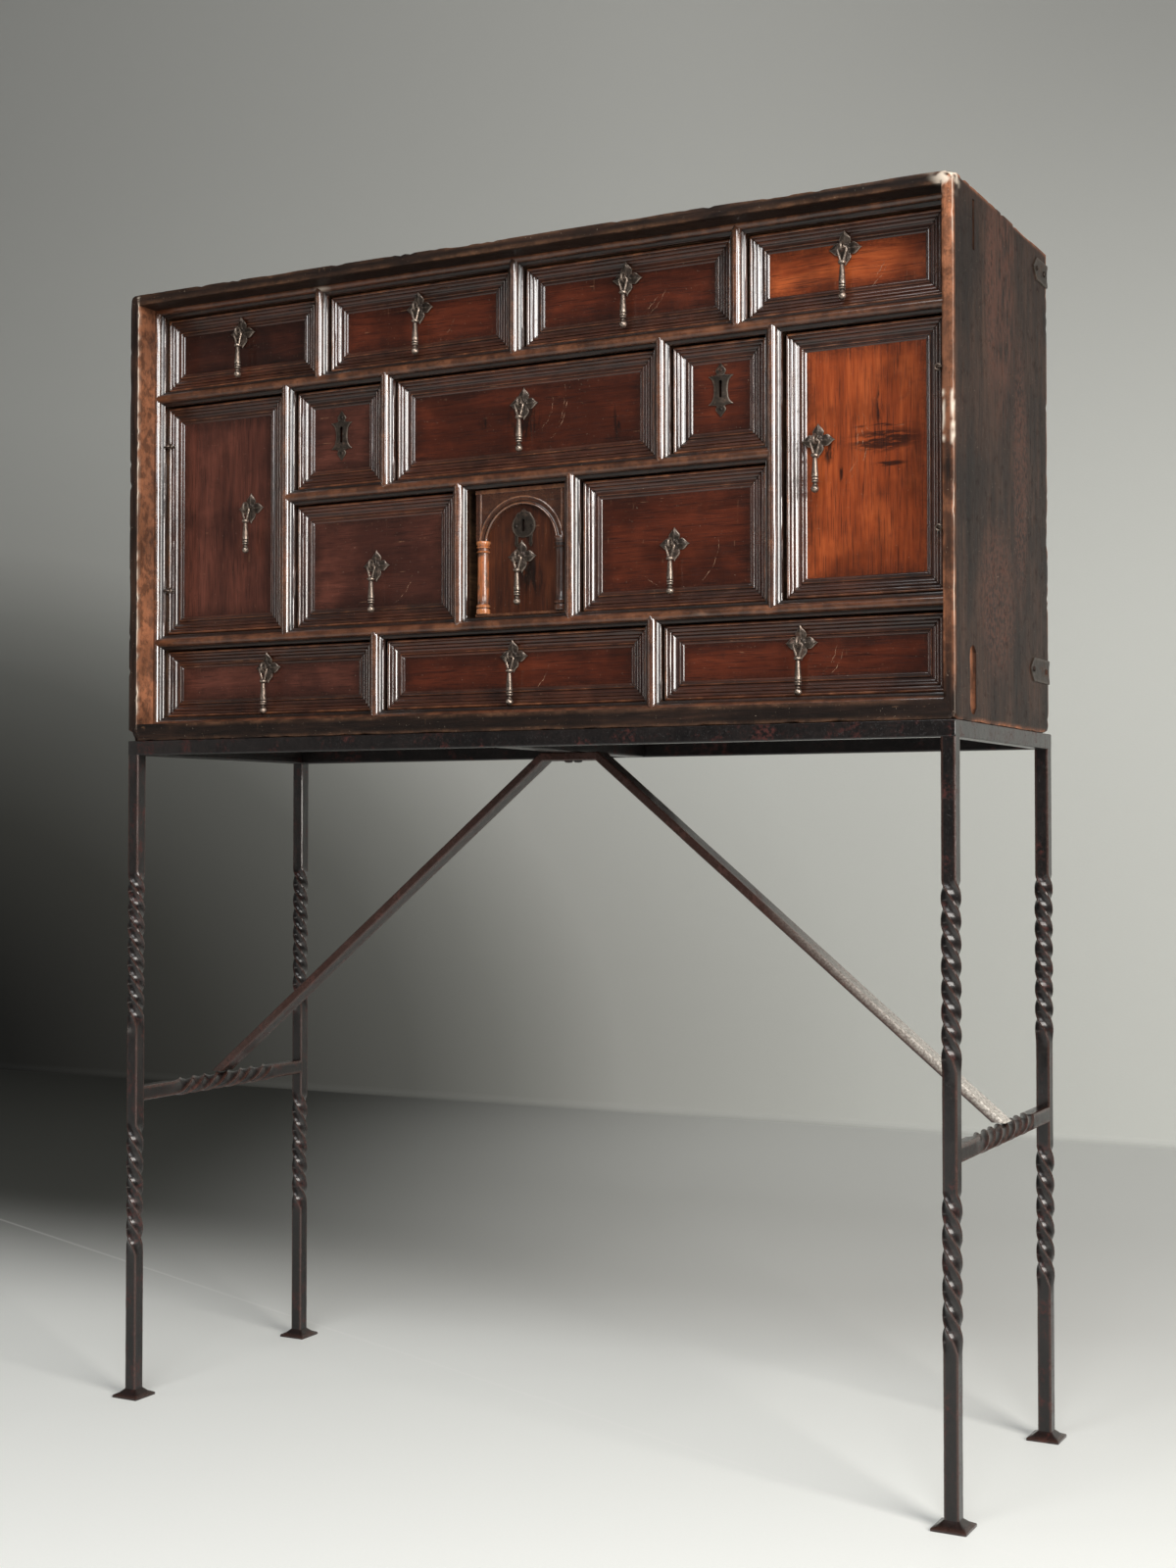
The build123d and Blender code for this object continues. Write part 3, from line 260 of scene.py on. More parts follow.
class Finish(Nodes):
    """One finish of wood or iron, built up from nodes."""

    def __init__(self, name):
        self.material = bpy.data.materials.new(name)
        self.material.use_nodes = True
        super().__init__(self.material.node_tree)
        self.tree.nodes.clear()
        self.place = self.node("ShaderNodeTexCoord").outputs["Object"]

    def sum(self, operation, first, second):
        node = self.node("ShaderNodeMath", {"operation": operation}, {0: first, 1: second})
        return Value(self, node.outputs[0])

    def length(self, vector):
        node = self.node("ShaderNodeVectorMath", {"operation": "LENGTH"}, {0: vector})
        return Value(self, node.outputs["Value"])

    def noise(self, size, detail=3.0, stretch=(1.0, 1.0, 1.0), shift=0.0, rough=0.55, place=None):
        """Noise with lumps of about that size in millimetres, drawn out by stretch."""
        moved = self.node("ShaderNodeMapping", None, {
            "Vector": place or self.place, "Scale": [1 / (mm * size * s) for s in stretch],
            "Location": (shift, 2.3 * shift, 5.1 * shift)})
        made = self.node("ShaderNodeTexNoise", None, {
            "Vector": moved.outputs["Vector"], "Scale": 1.0, "Detail": detail, "Roughness": rough})
        return Value(self, made.outputs["Fac"])

    def mark(self, name):
        return Value(self, self.node("ShaderNodeAttribute", {"attribute_name": name}).outputs["Fac"])

    def colours(self, value, *stops):
        stops = [(place, tone(colour)) for place, colour in stops]
        return self.node("ShaderNodeValToRGB", {"stops": stops}, {"Fac": value}).outputs["Color"]

    def mix(self, share, first, second):
        return self.node("ShaderNodeMix", {"data_type": "RGBA"}, {
            0: share, 6: tone(first), 7: tone(second)}).outputs[2]

    def relief(self, height, depth, under=None):
        sockets = {"Height": height, "Distance": depth * mm, "Strength": 1.0}
        if under is not None:
            sockets["Normal"] = under
        return self.node("ShaderNodeBump", None, sockets).outputs["Normal"]

    def surface(self, colour, roughness, normal, metal=0.0, coat=0.0, coat_roughness=0.2, under=0.5,
                coat_index=1.5, cover=1.0):
        shader = self.node("ShaderNodeBsdfPrincipled", None, {
            "Base Color": tone(colour), "Roughness": roughness, "Normal": normal, "Metallic": metal,
            "Coat Weight": coat, "Coat Roughness": coat_roughness, "Coat IOR": coat_index,
            "Specular IOR Level": under, "Alpha": cover})
        self.node("ShaderNodeOutputMaterial", None, {"Surface": shader.outputs["BSDF"]})
        return self.material


def drawn_out(along, ratio):
    """A stretch by that ratio along one axis."""
    return tuple(ratio if axis == along else 1.0 for axis in "XYZ")


def walnut(name, along, tones, gloss, coat, dust, shift, under=0.14, span=0.14, open_grain=1.0,
           stains=()):
    """Old varnished walnut: banded figure, streaks and open pores along one axis.

    The tones are dark, middle and light wood and a rubbed arris; stains are (place, size, colour).
    """
    dark, middle, light, rubbed = tones
    wood = Finish(name)
    run = drawn_out(along, 16.0)
    worn, deep, bare = wood.mark("worn"), wood.mark("deep"), wood.mark("bare")
    coarse = wood.node("ShaderNodeTexNoise", None, {"Vector": wood.place, "Scale": 5.0, "Detail": 1.0})
    sway = wood.node("ShaderNodeVectorMath", {"operation": "SCALE"}, {
        0: coarse.outputs["Color"], "Scale": 0.03})
    swayed = wood.node("ShaderNodeVectorMath", {"operation": "ADD"}, {
        0: wood.place, 1: sway.outputs["Vector"]}).outputs["Vector"]
    figure = wood.noise(30, 4, run, shift, place=swayed)
    streak = wood.noise(6, 4, run, shift + 3, place=swayed)
    fibre = wood.noise(1.5, 2, run, shift + 7)
    pore = wood.noise(1.1, 1, drawn_out(along, 34.0), shift + 11).rise(0.58, 0.68)
    cloud = wood.noise(110, 4, shift=shift + 17)
    bloom = wood.noise(46, 3, shift=shift + 19)
    grime = wood.noise(15, 6, shift=shift + 23, rough=0.7)
    dirt = wood.noise(3.2, 4, shift=shift + 29)
    scratch = wood.noise(1.1, 1, (3.0, 1.0, 60.0), shift + 31).rise(0.7, 0.75)
    scrape = wood.noise(1.3, 1, (46.0, 1.0, 2.0), shift + 37).rise(0.7, 0.75)
    specks = wood.noise(1.7, 2, shift=shift + 41).rise(0.74, 0.77)
    waves = wood.noise(38, 2, shift=shift + 43)
    cuts = (scratch * 0.5 + scrape) * grime.rise(0.52, 0.64)
    grain = figure * 0.42 + streak * 0.38 + fibre * 0.2
    colour = wood.colours(grain, (0.5 - span, dark), (0.5, middle), (0.5 + span, light))
    colour = wood.mix(bloom.rise(0.5, 0.7) * 0.28, colour, light)
    colour = wood.mix(cloud.rise(0.46, 0.64) * 0.62, colour, dark)
    colour = wood.mix(pore * 0.5, colour, (14, 8, 6))
    colour = wood.mix(grime.rise(0.56, 0.72) * dust * 0.6, colour, (26, 17, 13))
    for place, size, stained in stains:
        off = wood.node("ShaderNodeMapping", {"vector_type": "TEXTURE"}, {
            "Vector": wood.place, "Location": Vector(place) * mm, "Scale": Vector(size) * mm})
        brushed = wood.noise(6, 5, (7.0, 1.0, 1.0) if size[0] > size[2] else (1.0, 1.0, 5.0), 2.0, 0.7)
        stain = (1 - wood.length(off.outputs["Vector"]).rise(0.4, 1.0)) * brushed.rise(0.44, 0.56)
        colour = wood.mix(stain * 0.85, colour, stained)
    # The worn mark lays the rubbed colour: wear on arrises, plus painted light on the left reveal and partly
    # on the strip crowns.
    colour = wood.mix(worn * (0.35 + 0.65 * grime.rise(0.4, 0.6)), colour, rubbed)
    # The deep mark darkens joints, quirks, hollows, gaps and the panels' borders: dirt, and painted shade in
    # these recesses.
    colour = wood.mix(deep * (0.65 + 0.35 * dirt.rise(0.4, 0.6)), colour, (10, 7, 5))
    colour = wood.mix(cuts * 0.35, colour, (150, 112, 84))
    colour = wood.mix(specks * dust, colour, (190, 172, 150))
    # The bare mark lays pale wood on chips, and a painted highlight down the case's right front arris.
    colour = wood.mix(bare, colour, (205, 192, 176))
    dull = grime.rise(0.5, 0.78)
    roughness = gloss + 0.2 * dull + 0.16 * deep + 0.2 * bare + 0.08 * fibre
    height = fibre * 0.3 + streak * 0.5 - pore * 0.55 - cuts * 0.5 + dirt * 0.3
    normal = wood.relief(height, 0.32 * open_grain, wood.relief(waves, 0.5 + 0.8 * open_grain))
    return wood.surface(colour, roughness, normal, coat=(1 - 0.6 * dull) * (1 - 0.6 * deep) * coat,
                        coat_roughness=0.1, under=under, coat_index=1.8 if under > 0.5 else 1.5)


case_across = walnut("case_walnut_across", "X", ((16, 11, 9), (30, 21, 17), (50, 34, 26), (92, 64, 46)),
                     gloss=0.46, coat=0.1, dust=0.9, shift=1.0)
red_patches = [((half_width, y, z), (200.0, wide, high), (76, 48, 38)) for y, z, wide, high in (
    (-12.0, 1310.0, 70.0, 200.0), (-52.0, 1290.0, 30.0, 140.0), (60.0, 1110.0, 40.0, 190.0),
    (-30.0, 960.0, 90.0, 110.0))]
case_upright = walnut("case_walnut_upright", "Z",
                      ((18, 12, 10), (40, 27, 21), (66, 46, 36), (160, 104, 74)),
                      gloss=0.5, coat=0.1, dust=1.0, shift=2.0, under=0.12, stains=red_patches)

close_ends = (0.0, 0.5, 1.2, 2.4, 4.0, 6.0, 8.5, 11.0, 14.0, 17.0, 20.0, 24.0)


def stations(low, high, step):
    """Places along a board, closer together near its two ends."""
    middle = np.arange(low + close_ends[-1] + step / 2, high - close_ends[-1], step)
    return np.concatenate([[low + e for e in close_ends], middle, [high - e for e in close_ends[::-1]]])


def case_board(side):
    """One board of the case, from its outline and the mitres of its two ends."""
    upright = side in ("left", "right")
    if upright:
        sign = 1 if side == "right" else -1
        a, b = np.transpose(board_outline(wall_x, half_width, front_y, back_y, case_arris, case_step))
        share = (half_width - a) / board
        t = (stations(low_z, top_z, 5.5) - low_z) / (top_z - low_z)
        start, end = low_z + share * floor_board, top_z - share * board
        rings = np.stack(np.broadcast_arrays(a * sign, b, start + t[:, None] * (end - start)), axis=2)
        rings = rings[:, ::sign]
    else:
        low, high, outer = (ceiling_z, top_z, top_z) if side == "top" else (low_z, floor_z, low_z)
        a, b = np.transpose(board_outline(front_y, back_y, low, high, case_arris, case_step))
        half = half_width - np.abs(outer - b) / (high - low) * board
        t = stations(-half_width, half_width, 7.0) / half_width
        rings = np.stack(np.broadcast_arrays(t[:, None] * half, a, b), axis=2)
    rounding = 20.0
    centre = (back_y - rounding, low_z + rounding)
    points, faces = skin(rings)
    points = points.copy()
    d = points[:, 1:] - centre
    reach = np.hypot(d[:, 0], d[:, 1])
    past = (d[:, 0] > 0) & (d[:, 1] < 0) & (reach > rounding)
    points[past, 1:] = centre + d[past] * (rounding / reach[past])[:, None]
    points, worn, bare = worn_case(points)
    work = Work()
    work.add(points, faces, worn=worn, bare=bare)
    finish = case_upright if upright else case_across
    return work.piece(f"{side}_board", [finish], "cabinet", "case_walnut",
                      [f"case_{side}{'_side' * upright}"])


for side in ("top", "bottom", "left"):
    case_board(side)
case_right = case_board("right")


def as_mesh(shaped):
    """The mesh that an object's modifiers give it."""
    bpy.context.view_layer.update()
    shown = shaped.evaluated_get(bpy.context.evaluated_depsgraph_get())
    return bpy.data.meshes.new_from_object(shown)


def pierced(piece, outline, first, z, near, far, along_y=True):
    """Cuts an outline through a piece, along Y as a rule, from near to far."""
    count = len(outline)
    points = [(first + a, depth, z + b) if along_y else (depth, first + a, z + b)
              for depth in (near, far) for a, b in outline]
    faces = [tuple(range(count)), tuple(range(count, 2 * count))[::-1]]
    faces += [(i, count + i, count + (i + 1) % count, (i + 1) % count) for i in range(count)]
    mesh = bpy.data.meshes.new("cut")
    mesh.from_pydata((np.array(points) * mm).tolist(), [], faces)
    cutter = bpy.data.objects.new("cut", mesh)
    bpy.context.scene.collection.objects.link(cutter)
    cut = piece.modifiers.new("cut", "BOOLEAN")
    cut.operation, cut.solver, cut.object = "DIFFERENCE", "EXACT", cutter
    cut.use_self = True
    plain = as_mesh(piece)
    piece.modifiers.clear()
    piece.data = plain
    bpy.data.objects.remove(cutter)


# Two old mortises near the front edge of the right side, the lower one's edges broken.
broken_slot = []
for side in (1, -1):
    for turn in np.linspace((1 - side) * math.pi / 2, (3 - side) * math.pi / 2, 12):
        wide, high = 11.0 + 1.6 * lump(turn * 2.1, side, 0.0), 11.0 + 2.2 * lump(turn * 1.7, side, 4.0)
        broken_slot.append((wide * math.cos(turn), side * 25.5 + high * math.sin(turn)))
square_slot = [(-3.5, -27.0), (3.5, -27.0), (3.5, 27.0), (-3.5, 27.0)]
for slot, y, z in ((broken_slot, -122.0, 866.5), (square_slot, -114.0, 1348.5)):
    pierced(case_right, slot, y, z, half_width + 2.0, half_width - 3.0, along_y=False)


# ---------------------------------------------------------------- Iron straps
# Four flat iron straps hold the rear corners. Each is nailed on, drawn out to a point on the side
# and bent round on to the back, with a raised edge left by the hammer.

strap_gauge = 1.5
strap_return = 60.0
strap_point = 14.0
straps_at = ((1348.0, 1375.0, 115.0), (880.0, 908.0, 95.0))


def forged_iron(name, dark, light, rust, gloss, metal=0.75, lumps=14.0, rubbed=(112, 100, 90), wax=0.0):
    """Wrought iron: dark scale, hammer marks, rubbed arrises and traces of rust under old wax."""
    iron = Finish(name)
    worn, deep, bare = iron.mark("worn"), iron.mark("deep"), iron.mark("bare")
    cloud = iron.noise(40, 4, rough=0.6)
    fleck = iron.noise(5, 5, shift=3.0, rough=0.65)
    pit = iron.noise(2.2, 3, shift=7.0).rise(0.6, 0.72)
    rusty = iron.noise(26, 5, shift=11.0, rough=0.7).rise(0.5, 0.66) * fleck.rise(0.42, 0.6)
    # The bare mark lays a pale speckled colour. Only the right brace carries it, as a painted highlight.
    painted_sheen = bare * (0.45 + 0.55 * iron.noise(2.6, 3, shift=17.0).rise(0.4, 0.58))
    colour = iron.colours(cloud * 0.5 + fleck * 0.5, (0.38, dark), (0.64, light))
    for share, laid in ((rusty * 0.75, rust), (worn * (0.3 + 0.5 * fleck), rubbed),
                        (deep * 0.8, (10, 8, 7)), (pit * 0.5, (16, 12, 10)),
                        (painted_sheen, (212, 206, 196))):
        colour = iron.mix(share, colour, laid)
    roughness = gloss + 0.24 * rusty + 0.2 * pit + 0.22 * deep - 0.06 * worn + 0.12 * cloud
    normal = iron.relief(fleck * 0.35 - pit * 0.5, 0.3,
                         iron.relief(iron.noise(lumps, 2, shift=13.0), 0.7))
    return iron.surface(colour, roughness, normal, metal=metal * (1 - rusty * 0.6 - deep * 0.4), coat=wax,
                        coat_roughness=0.12, under=0.3, coat_index=1.6)


strap_iron = forged_iron("strap_iron", (38, 33, 30), (66, 57, 51), (84, 46, 30), 0.4)


def sheet(rows, wide):
    """Faces between rows of points laid side by side."""
    return [(a, a + 1, a + 1 + wide, a + wide)
            for i in range(rows - 1) for a in range(i * wide, (i + 1) * wide - 1)]


def corner_strap(work, side, low, high, reach_y):
    """The strap's section is swept from its point, round the corner and along the back."""
    run, sunk = back_y - reach_y, 0.3
    length = run + 2.0 + strap_return
    along = np.concatenate([np.linspace(0.0, strap_point, 8), np.arange(18.0, length, 4.0), [length]])
    across = [-1.0, *np.linspace(-0.97, 0.97, 9), 1.0]
    lift = (0.2, 1.0, 1.0, 0.7, 0.6, 0.6, 0.6, 0.7, 1.0, 1.0, 0.2)
    front, rear, worn = [], [], []
    for s in along:
        turned = s - run
        half = (high - low) / 2 * min(1.0, s / strap_point) ** 0.9
        half += 0.5 * lump(s * 0.09, side * low * 0.1, 2.0)
        for a, up in zip(across, lift):
            z = (low + high) / 2 + a * half
            out = strap_gauge * up
            if turned <= 0:
                front.append((side * (half_width + out), reach_y + s, z))
                rear.append((side * (half_width - sunk), reach_y + s, z))
            else:
                front.append((side * (half_width + (out - turned)), back_y + out, z))
                rear.append((side * (half_width - max(turned, sunk)), back_y - sunk, z))
            worn.append(0.8 if abs(a) > 0.95 else 0.25)
    wide, size = len(across), len(front)
    faces = sheet(len(along), wide)
    faces += [tuple(size + i for i in face[::-1]) for face in faces]
    rim = [*range(0, size, wide), *range(size - wide + 1, size), *range(size - wide - 1, 0, -wide),
           *range(wide - 2, 0, -1)]
    faces += [(b, a, size + a, size + b) for a, b in zip(rim, rim[1:] + rim[:1])]
    work.add(front + rear, [face[::side] for face in faces], worn=worn + [0.0] * size)


straps = Work()
for side in (-1, 1):
    for strap in straps_at:
        corner_strap(straps, side, *strap)
straps.piece("corner_straps_forged", [strap_iron], "cabinet", "stand_iron", ["corner_straps"])


def growth(name, sizes):
    """An empty Geometry Nodes tree with an input for each size, and its inputs' sockets."""
    grower = Nodes(bpy.data.node_groups.new(name, "GeometryNodeTree"))
    new_socket = grower.tree.interface.new_socket
    for way in ("INPUT", "OUTPUT"):
        new_socket("Geometry", in_out=way, socket_type="NodeSocketGeometry")
    for label, value in sizes.items():
        new_socket(label, in_out="INPUT", socket_type="NodeSocketFloat").default_value = value
    return grower, grower.node("NodeGroupInput").outputs


def beaten(grower, shape, fineness, middle, depth, finish):
    """Beats a shape's surface uneven, gives it its finish and ends the tree."""
    node = grower.node
    loose = node("GeometryNodeRealizeInstances", None, {"Geometry": shape})
    spot = node("GeometryNodeInputPosition")
    lumps = node("ShaderNodeTexNoise", None, {"Vector": spot.outputs["Position"], "Scale": fineness})
    centred = node("ShaderNodeVectorMath", {"operation": "SUBTRACT"}, {
        0: lumps.outputs["Color"], 1: (middle, middle, middle)})
    bend = node("ShaderNodeVectorMath", {"operation": "SCALE"}, {
        0: centred.outputs["Vector"], "Scale": depth})
    uneven = node("GeometryNodeSetPosition", None, {
        "Geometry": loose.outputs["Geometry"], "Offset": bend.outputs["Vector"]})
    coat = node("GeometryNodeSetMaterial", None, {
        "Geometry": uneven.outputs["Geometry"], "Material": finish})
    node("NodeGroupOutput", None, {"Geometry": coat.outputs["Geometry"]})
    return grower.tree


def nail_tree(name, radius, height, seed, finish):
    """Nodes that set one uneven hammered nail head on each point of a mesh."""
    grower, given = growth(name, {"Radius": radius, "Height": height, "Uneven": 0.18})
    node = grower.node
    head = node("GeometryNodeMeshUVSphere", None, {
        "Segments": 14, "Rings": 8, "Radius": given["Radius"]})
    flatter = node("ShaderNodeMath", {"operation": "DIVIDE"}, {0: given["Height"], 1: given["Radius"]})
    squat = node("ShaderNodeCombineXYZ", None, {"X": 1.0, "Y": 1.0, "Z": flatter.outputs[0]})
    pressed = node("GeometryNodeTransform", None, {
        "Geometry": head.outputs["Mesh"], "Scale": squat.outputs["Vector"]})
    facing = node("GeometryNodeInputNamedAttribute", {"data_type": "FLOAT_VECTOR"}, {"Name": "facing"})
    turn = node("FunctionNodeAlignRotationToVector", {"axis": "Z"}, {
        "Vector": facing.outputs["Attribute"]})
    spread = node("ShaderNodeMath", {"operation": "ADD"}, {0: 1.0, 1: given["Uneven"]})
    size = node("FunctionNodeRandomValue", None, {2: 0.86, 3: spread.outputs[0], "Seed": seed})
    heads = node("GeometryNodeInstanceOnPoints", None, {
        "Points": given["Geometry"], "Instance": pressed.outputs["Geometry"],
        "Rotation": turn.outputs["Rotation"], "Scale": size.outputs[1]})
    return beaten(grower, heads.outputs["Instances"], 420.0, 0.0, 0.6 * mm, finish)


def grown(name, mesh, tree, values, body, nodes=()):
    """Runs a tree on a mesh and keeps the result as a plain mesh that rides on a body."""
    layout = bpy.data.objects.new(name + "_layout", mesh)
    bpy.context.scene.collection.objects.link(layout)
    run = layout.modifiers.new("grow", "NODES")
    run.node_group = tree
    for socket in tree.interface.items_tree:
        if socket.in_out == "INPUT" and socket.name in values:
            run[socket.identifier] = values[socket.name]
    plain = as_mesh(layout)
    bpy.data.objects.remove(layout)
    plain.name = name
    return handed_over(name, plain, body, nodes)


def nails(name, places, radius, height, body, finish, seed):
    """Nail heads at (place, facing) pairs."""
    mesh = bpy.data.meshes.new(name + "_places")
    mesh.from_pydata([[c * mm for c in place] for place, _ in places], [], [])
    layer = mesh.attributes.new("facing", "FLOAT_VECTOR", "POINT")
    layer.data.foreach_set("vector", [c for _, facing in places for c in facing])
    tree = nail_tree(name + "_tree", radius * mm, height * mm, seed, finish)
    grown(name, mesh, tree, {"Uneven": 0.2}, body)


strap_nails = []
for side in (-1, 1):
    for low, high, reach_y in straps_at:
        z = (low + high) / 2
        strap_nails += [((side * (half_width + strap_gauge - 0.4), y, z), (side, 0, 0))
                        for y in (reach_y + 14.0, back_y - 14.0)]
        strap_nails.append(((side * (half_width - strap_return + 14.0), back_y + 1.1, z), (0, 1, 0)))
nails("strap_nails", strap_nails, 3.0, 1.3, "cabinet", strap_iron, seed=3)


# ---------------------------------------------------------------- Back of the case
# The back is three plain boards let in between the sides and nailed along their edges.
# They were never varnished, so the wood is grey-brown and dry.

back_board = 10.0
dry_walnut = walnut("dry_walnut", "X", ((58, 45, 36), (92, 73, 58), (120, 98, 79), (140, 118, 96)),
                    gloss=0.62, coat=0.0, dust=0.8, shift=4.0)


def thin_board(work, x, y, z, finish=0, arris=0.6, warp=0.0):
    """A sawn board between pairs of limits, its arrises eased and its faces a little uneven."""
    limits = [x, y, z]
    run = int(np.argmax([high - low for low, high in limits]))
    a, b = (run + 1) % 3, (run + 2) % 3
    outline = np.array(board_outline(*limits[a], *limits[b], arris, 24.0))
    low, high = limits[run]
    t = np.concatenate([[low, low + 0.6], np.arange(low + 30, high - 15, 30.0), [high - 0.6, high]])
    rings = np.zeros((len(t), len(outline), 3))
    rings[:, :, run], rings[:, :, a], rings[:, :, b] = t[:, None], outline[:, 0], outline[:, 1]
    for end in (0, -1):
        off = rings[end].mean(axis=0) - rings[end]
        rings[end] += off * np.minimum(1.0, 0.6 / np.maximum(1.0, np.abs(off)))
    points, faces = skin(rings)
    if warp:
        points = points.copy()
        points[:, 1] -= warp * (0.5 + 0.5 * roughness_of(points, 160.0, 3.0))
    work.add(points, faces, finish)


back = Work()
seams = (floor_z, 1022.0, 1206.0, ceiling_z)
for low, high in zip(seams, seams[1:]):
    thin_board(back, (-wall_x, wall_x), (back_y - back_board, back_y - 0.2), (low + 0.4, high - 0.4),
               warp=0.5)
back.piece("back_boards", [dry_walnut], "cabinet", "lining_wood", ["case_back"])
edge_nails = [(side * 518.0, z) for side in (-1, 1) for z in np.arange(870.0, 1370.0, 46.0)]
edge_nails += [(x, z) for z in (852.0, 1367.0) for x in np.arange(-460.0, 470.0, 92.0)]
nails("back_nails", [((x, back_y - 0.4, z), (0, 1, 0)) for x, z in edge_nails], 2.6, 0.9, "cabinet",
      strap_iron, seed=5)


# ---------------------------------------------------------------- Nest boards
# Behind the fronts, plain liners, shelves and uprights divide the inside into cells.
# They are sawn softwood, left bare and darkened with age.

lining = walnut("lining_wood", "Y", ((40, 28, 20), (66, 47, 33), (94, 70, 49), (120, 94, 68)),
                gloss=0.6, coat=0.0, dust=0.8, shift=5.0)
for name in ("nest_liners", "shelves", "uprights"):
    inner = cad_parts[name]
    inner.data.materials.clear()
    inner.data.materials.append(lining)


# ---------------------------------------------------------------- Moulding strips
# Half-round walnut strips cover the edges of the nest boards. Each divider ends in a point
# that is let into a V in the rail it meets, and the crowns are rubbed pale: partly wear, partly a
# painted highlight. Their feet and the hollows beside the crowns are darkened as painted shade.

nest_front_y = -138.0
half_strip, strip_crown = 9.5, 14.0
strip_tones = ((18, 10, 7), (42, 22, 14), (88, 45, 25), (132, 84, 56))
strip_across = walnut("strip_walnut_across", "X", strip_tones, gloss=0.32, coat=0.7,
                      dust=0.5, shift=6.0, under=0.3, span=0.2, open_grain=0.35)
strip_upright = walnut("strip_walnut_upright", "Z", strip_tones, gloss=0.17, coat=1.0,
                       dust=0.4, shift=7.0, under=0.8, span=0.2, open_grain=0.08)


def arc(start, through, end, pieces):
    """Points on the circle through three points, the first left out."""
    (ax, ay), (bx, by), (cx, cy) = start, through, end
    a, b, c = ax * ax + ay * ay, bx * bx + by * by, cx * cx + cy * cy
    d = 2 * (ax * (by - cy) + bx * (cy - ay) + cx * (ay - by))
    ux = (a * (by - cy) + b * (cy - ay) + c * (ay - by)) / d
    uy = (a * (cx - bx) + b * (ax - cx) + c * (bx - ax)) / d
    radius = math.hypot(ax - ux, ay - uy)
    first, middle, last = (math.atan2(y - uy, x - ux) for x, y in (start, through, end))
    sweep = (last - first) % full_turn
    if (middle - first) % full_turn > sweep:
        sweep -= full_turn
    return [(ux + radius * math.cos(first + sweep * k / pieces),
             uy + radius * math.sin(first + sweep * k / pieces)) for k in range(1, pieces + 1)]


half_profile = [(half_strip, 0.0), (half_strip, 5.5), (half_strip - 0.4, 6.0)]
half_profile += arc(half_profile[-1], (7.1, 6.8), (6.0, 8.0), 4) + [(5.6, 8.1), (5.6, 8.5)]
half_profile += arc(half_profile[-1], (3.95, 12.4), (0.0, strip_crown), 7)
strip_profile = half_profile + [(-u, h) for u, h in half_profile[-2::-1]]
# The crowns grow paler towards the top: partly real wear, partly a painted highlight.
strip_wear_and_highlight = [0.08 if h < 8.2 else 0.12 + 0.4 * (h - 8.0) / 6.0 for _, h in strip_profile]
# Painted shade: the strips' feet, down in the gaps, and the hollow beside the crown are darkened, so that
# only the crown shines.
strip_deep = [1.0 if h < 3 else 0.85 if 5.8 < h < 8.6 else 0.0 for _, h in strip_profile]
rail_chips = ((246.0, 947.0), (-268.0, 1372.0))


def strip(work, upright, line, low, high, pointed=True, keep=(-99.0, 99.0)):
    """A strip along X or Z with its crown on line, pointed where it is let into a rail."""
    profile = [(min(max(u, keep[0]), keep[1]), h) for u, h in strip_profile]
    middle = np.linspace(0.03, 0.97, max(4, int((high - low) / 14)))
    t = [0.0, 0.012, *middle, 0.988, 1.0]
    rings, wears, chips = [], [], []
    for share in t:
        edge = min(share, 1 - share) * (high - low)
        for (u, h), pale in zip(profile, strip_wear_and_highlight):
            cut = abs(u) * pointed
            s = low + cut + share * (high - low - 2 * cut)
            wave = lump(s * 0.035, line * 0.3, upright * 5.0 + u * 0.02)
            wear = lump(s * 0.08, line * 0.7, 4.0)
            top = h * (1 + 0.02 * wave) - max(0.0, wear - 0.15) * 1.5 * (h > 12)
            y = nest_front_y - min(top - 0.5 * (edge < 1.0) * (h > 1), strip_crown)
            side = line + u + 0.25 * wave * (abs(u) < 9.4)
            rings.append((side, y, s) if upright else (s, y, side))
            wears.append(min(1.0, max(0.0, pale * (0.75 + 0.9 * wear))))
            chips.append(0.0 if upright else max(0.0, *(
                0.6 - math.hypot((s - x) / 12.0, (line + u - z) / 6.0) for x, z in rail_chips)))
    turn = -1 if upright else 1
    worn, bare = (np.reshape(marks, (len(t), -1))[:, ::turn].ravel() for marks in (wears, chips))
    points, faces = skin(np.reshape(rings, (len(t), -1, 3))[:, ::turn])
    work.add(points, faces, int(upright), worn=worn, deep=strip_deep[::turn] * len(t), bare=bare)


rail_low_z, rail_mid_z, rail_high_z = 949.0, 1120.0, 1261.5
wall_line_x, floor_line_z, top_line_z = 526.5, 844.0, 1375.0
tall_x, portal_x = 324.0, 75.0
top_dividers, middle_dividers, bottom_dividers = (-275.0, 0.0, 282.0), (-178.0, 189.0), (-192.0, 178.0)

rails, dividers = Work(), Work()
upper_half, lower_half = (-0.5, 99.0), (-99.0, 0.5)
for z, half in ((rail_low_z, wall_line_x), (rail_mid_z, tall_x), (rail_high_z, wall_line_x)):
    strip(rails, False, z, -half, half)
for z, keep in ((floor_line_z, upper_half), (top_line_z, lower_half)):
    strip(rails, False, z, -wall_x, wall_x, False, keep)
for x, keep in ((-wall_line_x, upper_half), (wall_line_x, lower_half)):
    strip(rails, True, x, floor_z, ceiling_z, False, keep)
for x in (-tall_x, tall_x):
    strip(rails, True, x, rail_low_z, rail_high_z)
for lines, low, high in ((top_dividers, rail_high_z, top_line_z), (middle_dividers, rail_mid_z, rail_high_z),
                         ((-portal_x, portal_x), rail_low_z, rail_mid_z),
                         (bottom_dividers, floor_line_z, rail_low_z)):
    for x in lines:
        strip(dividers, True, x, low, high)
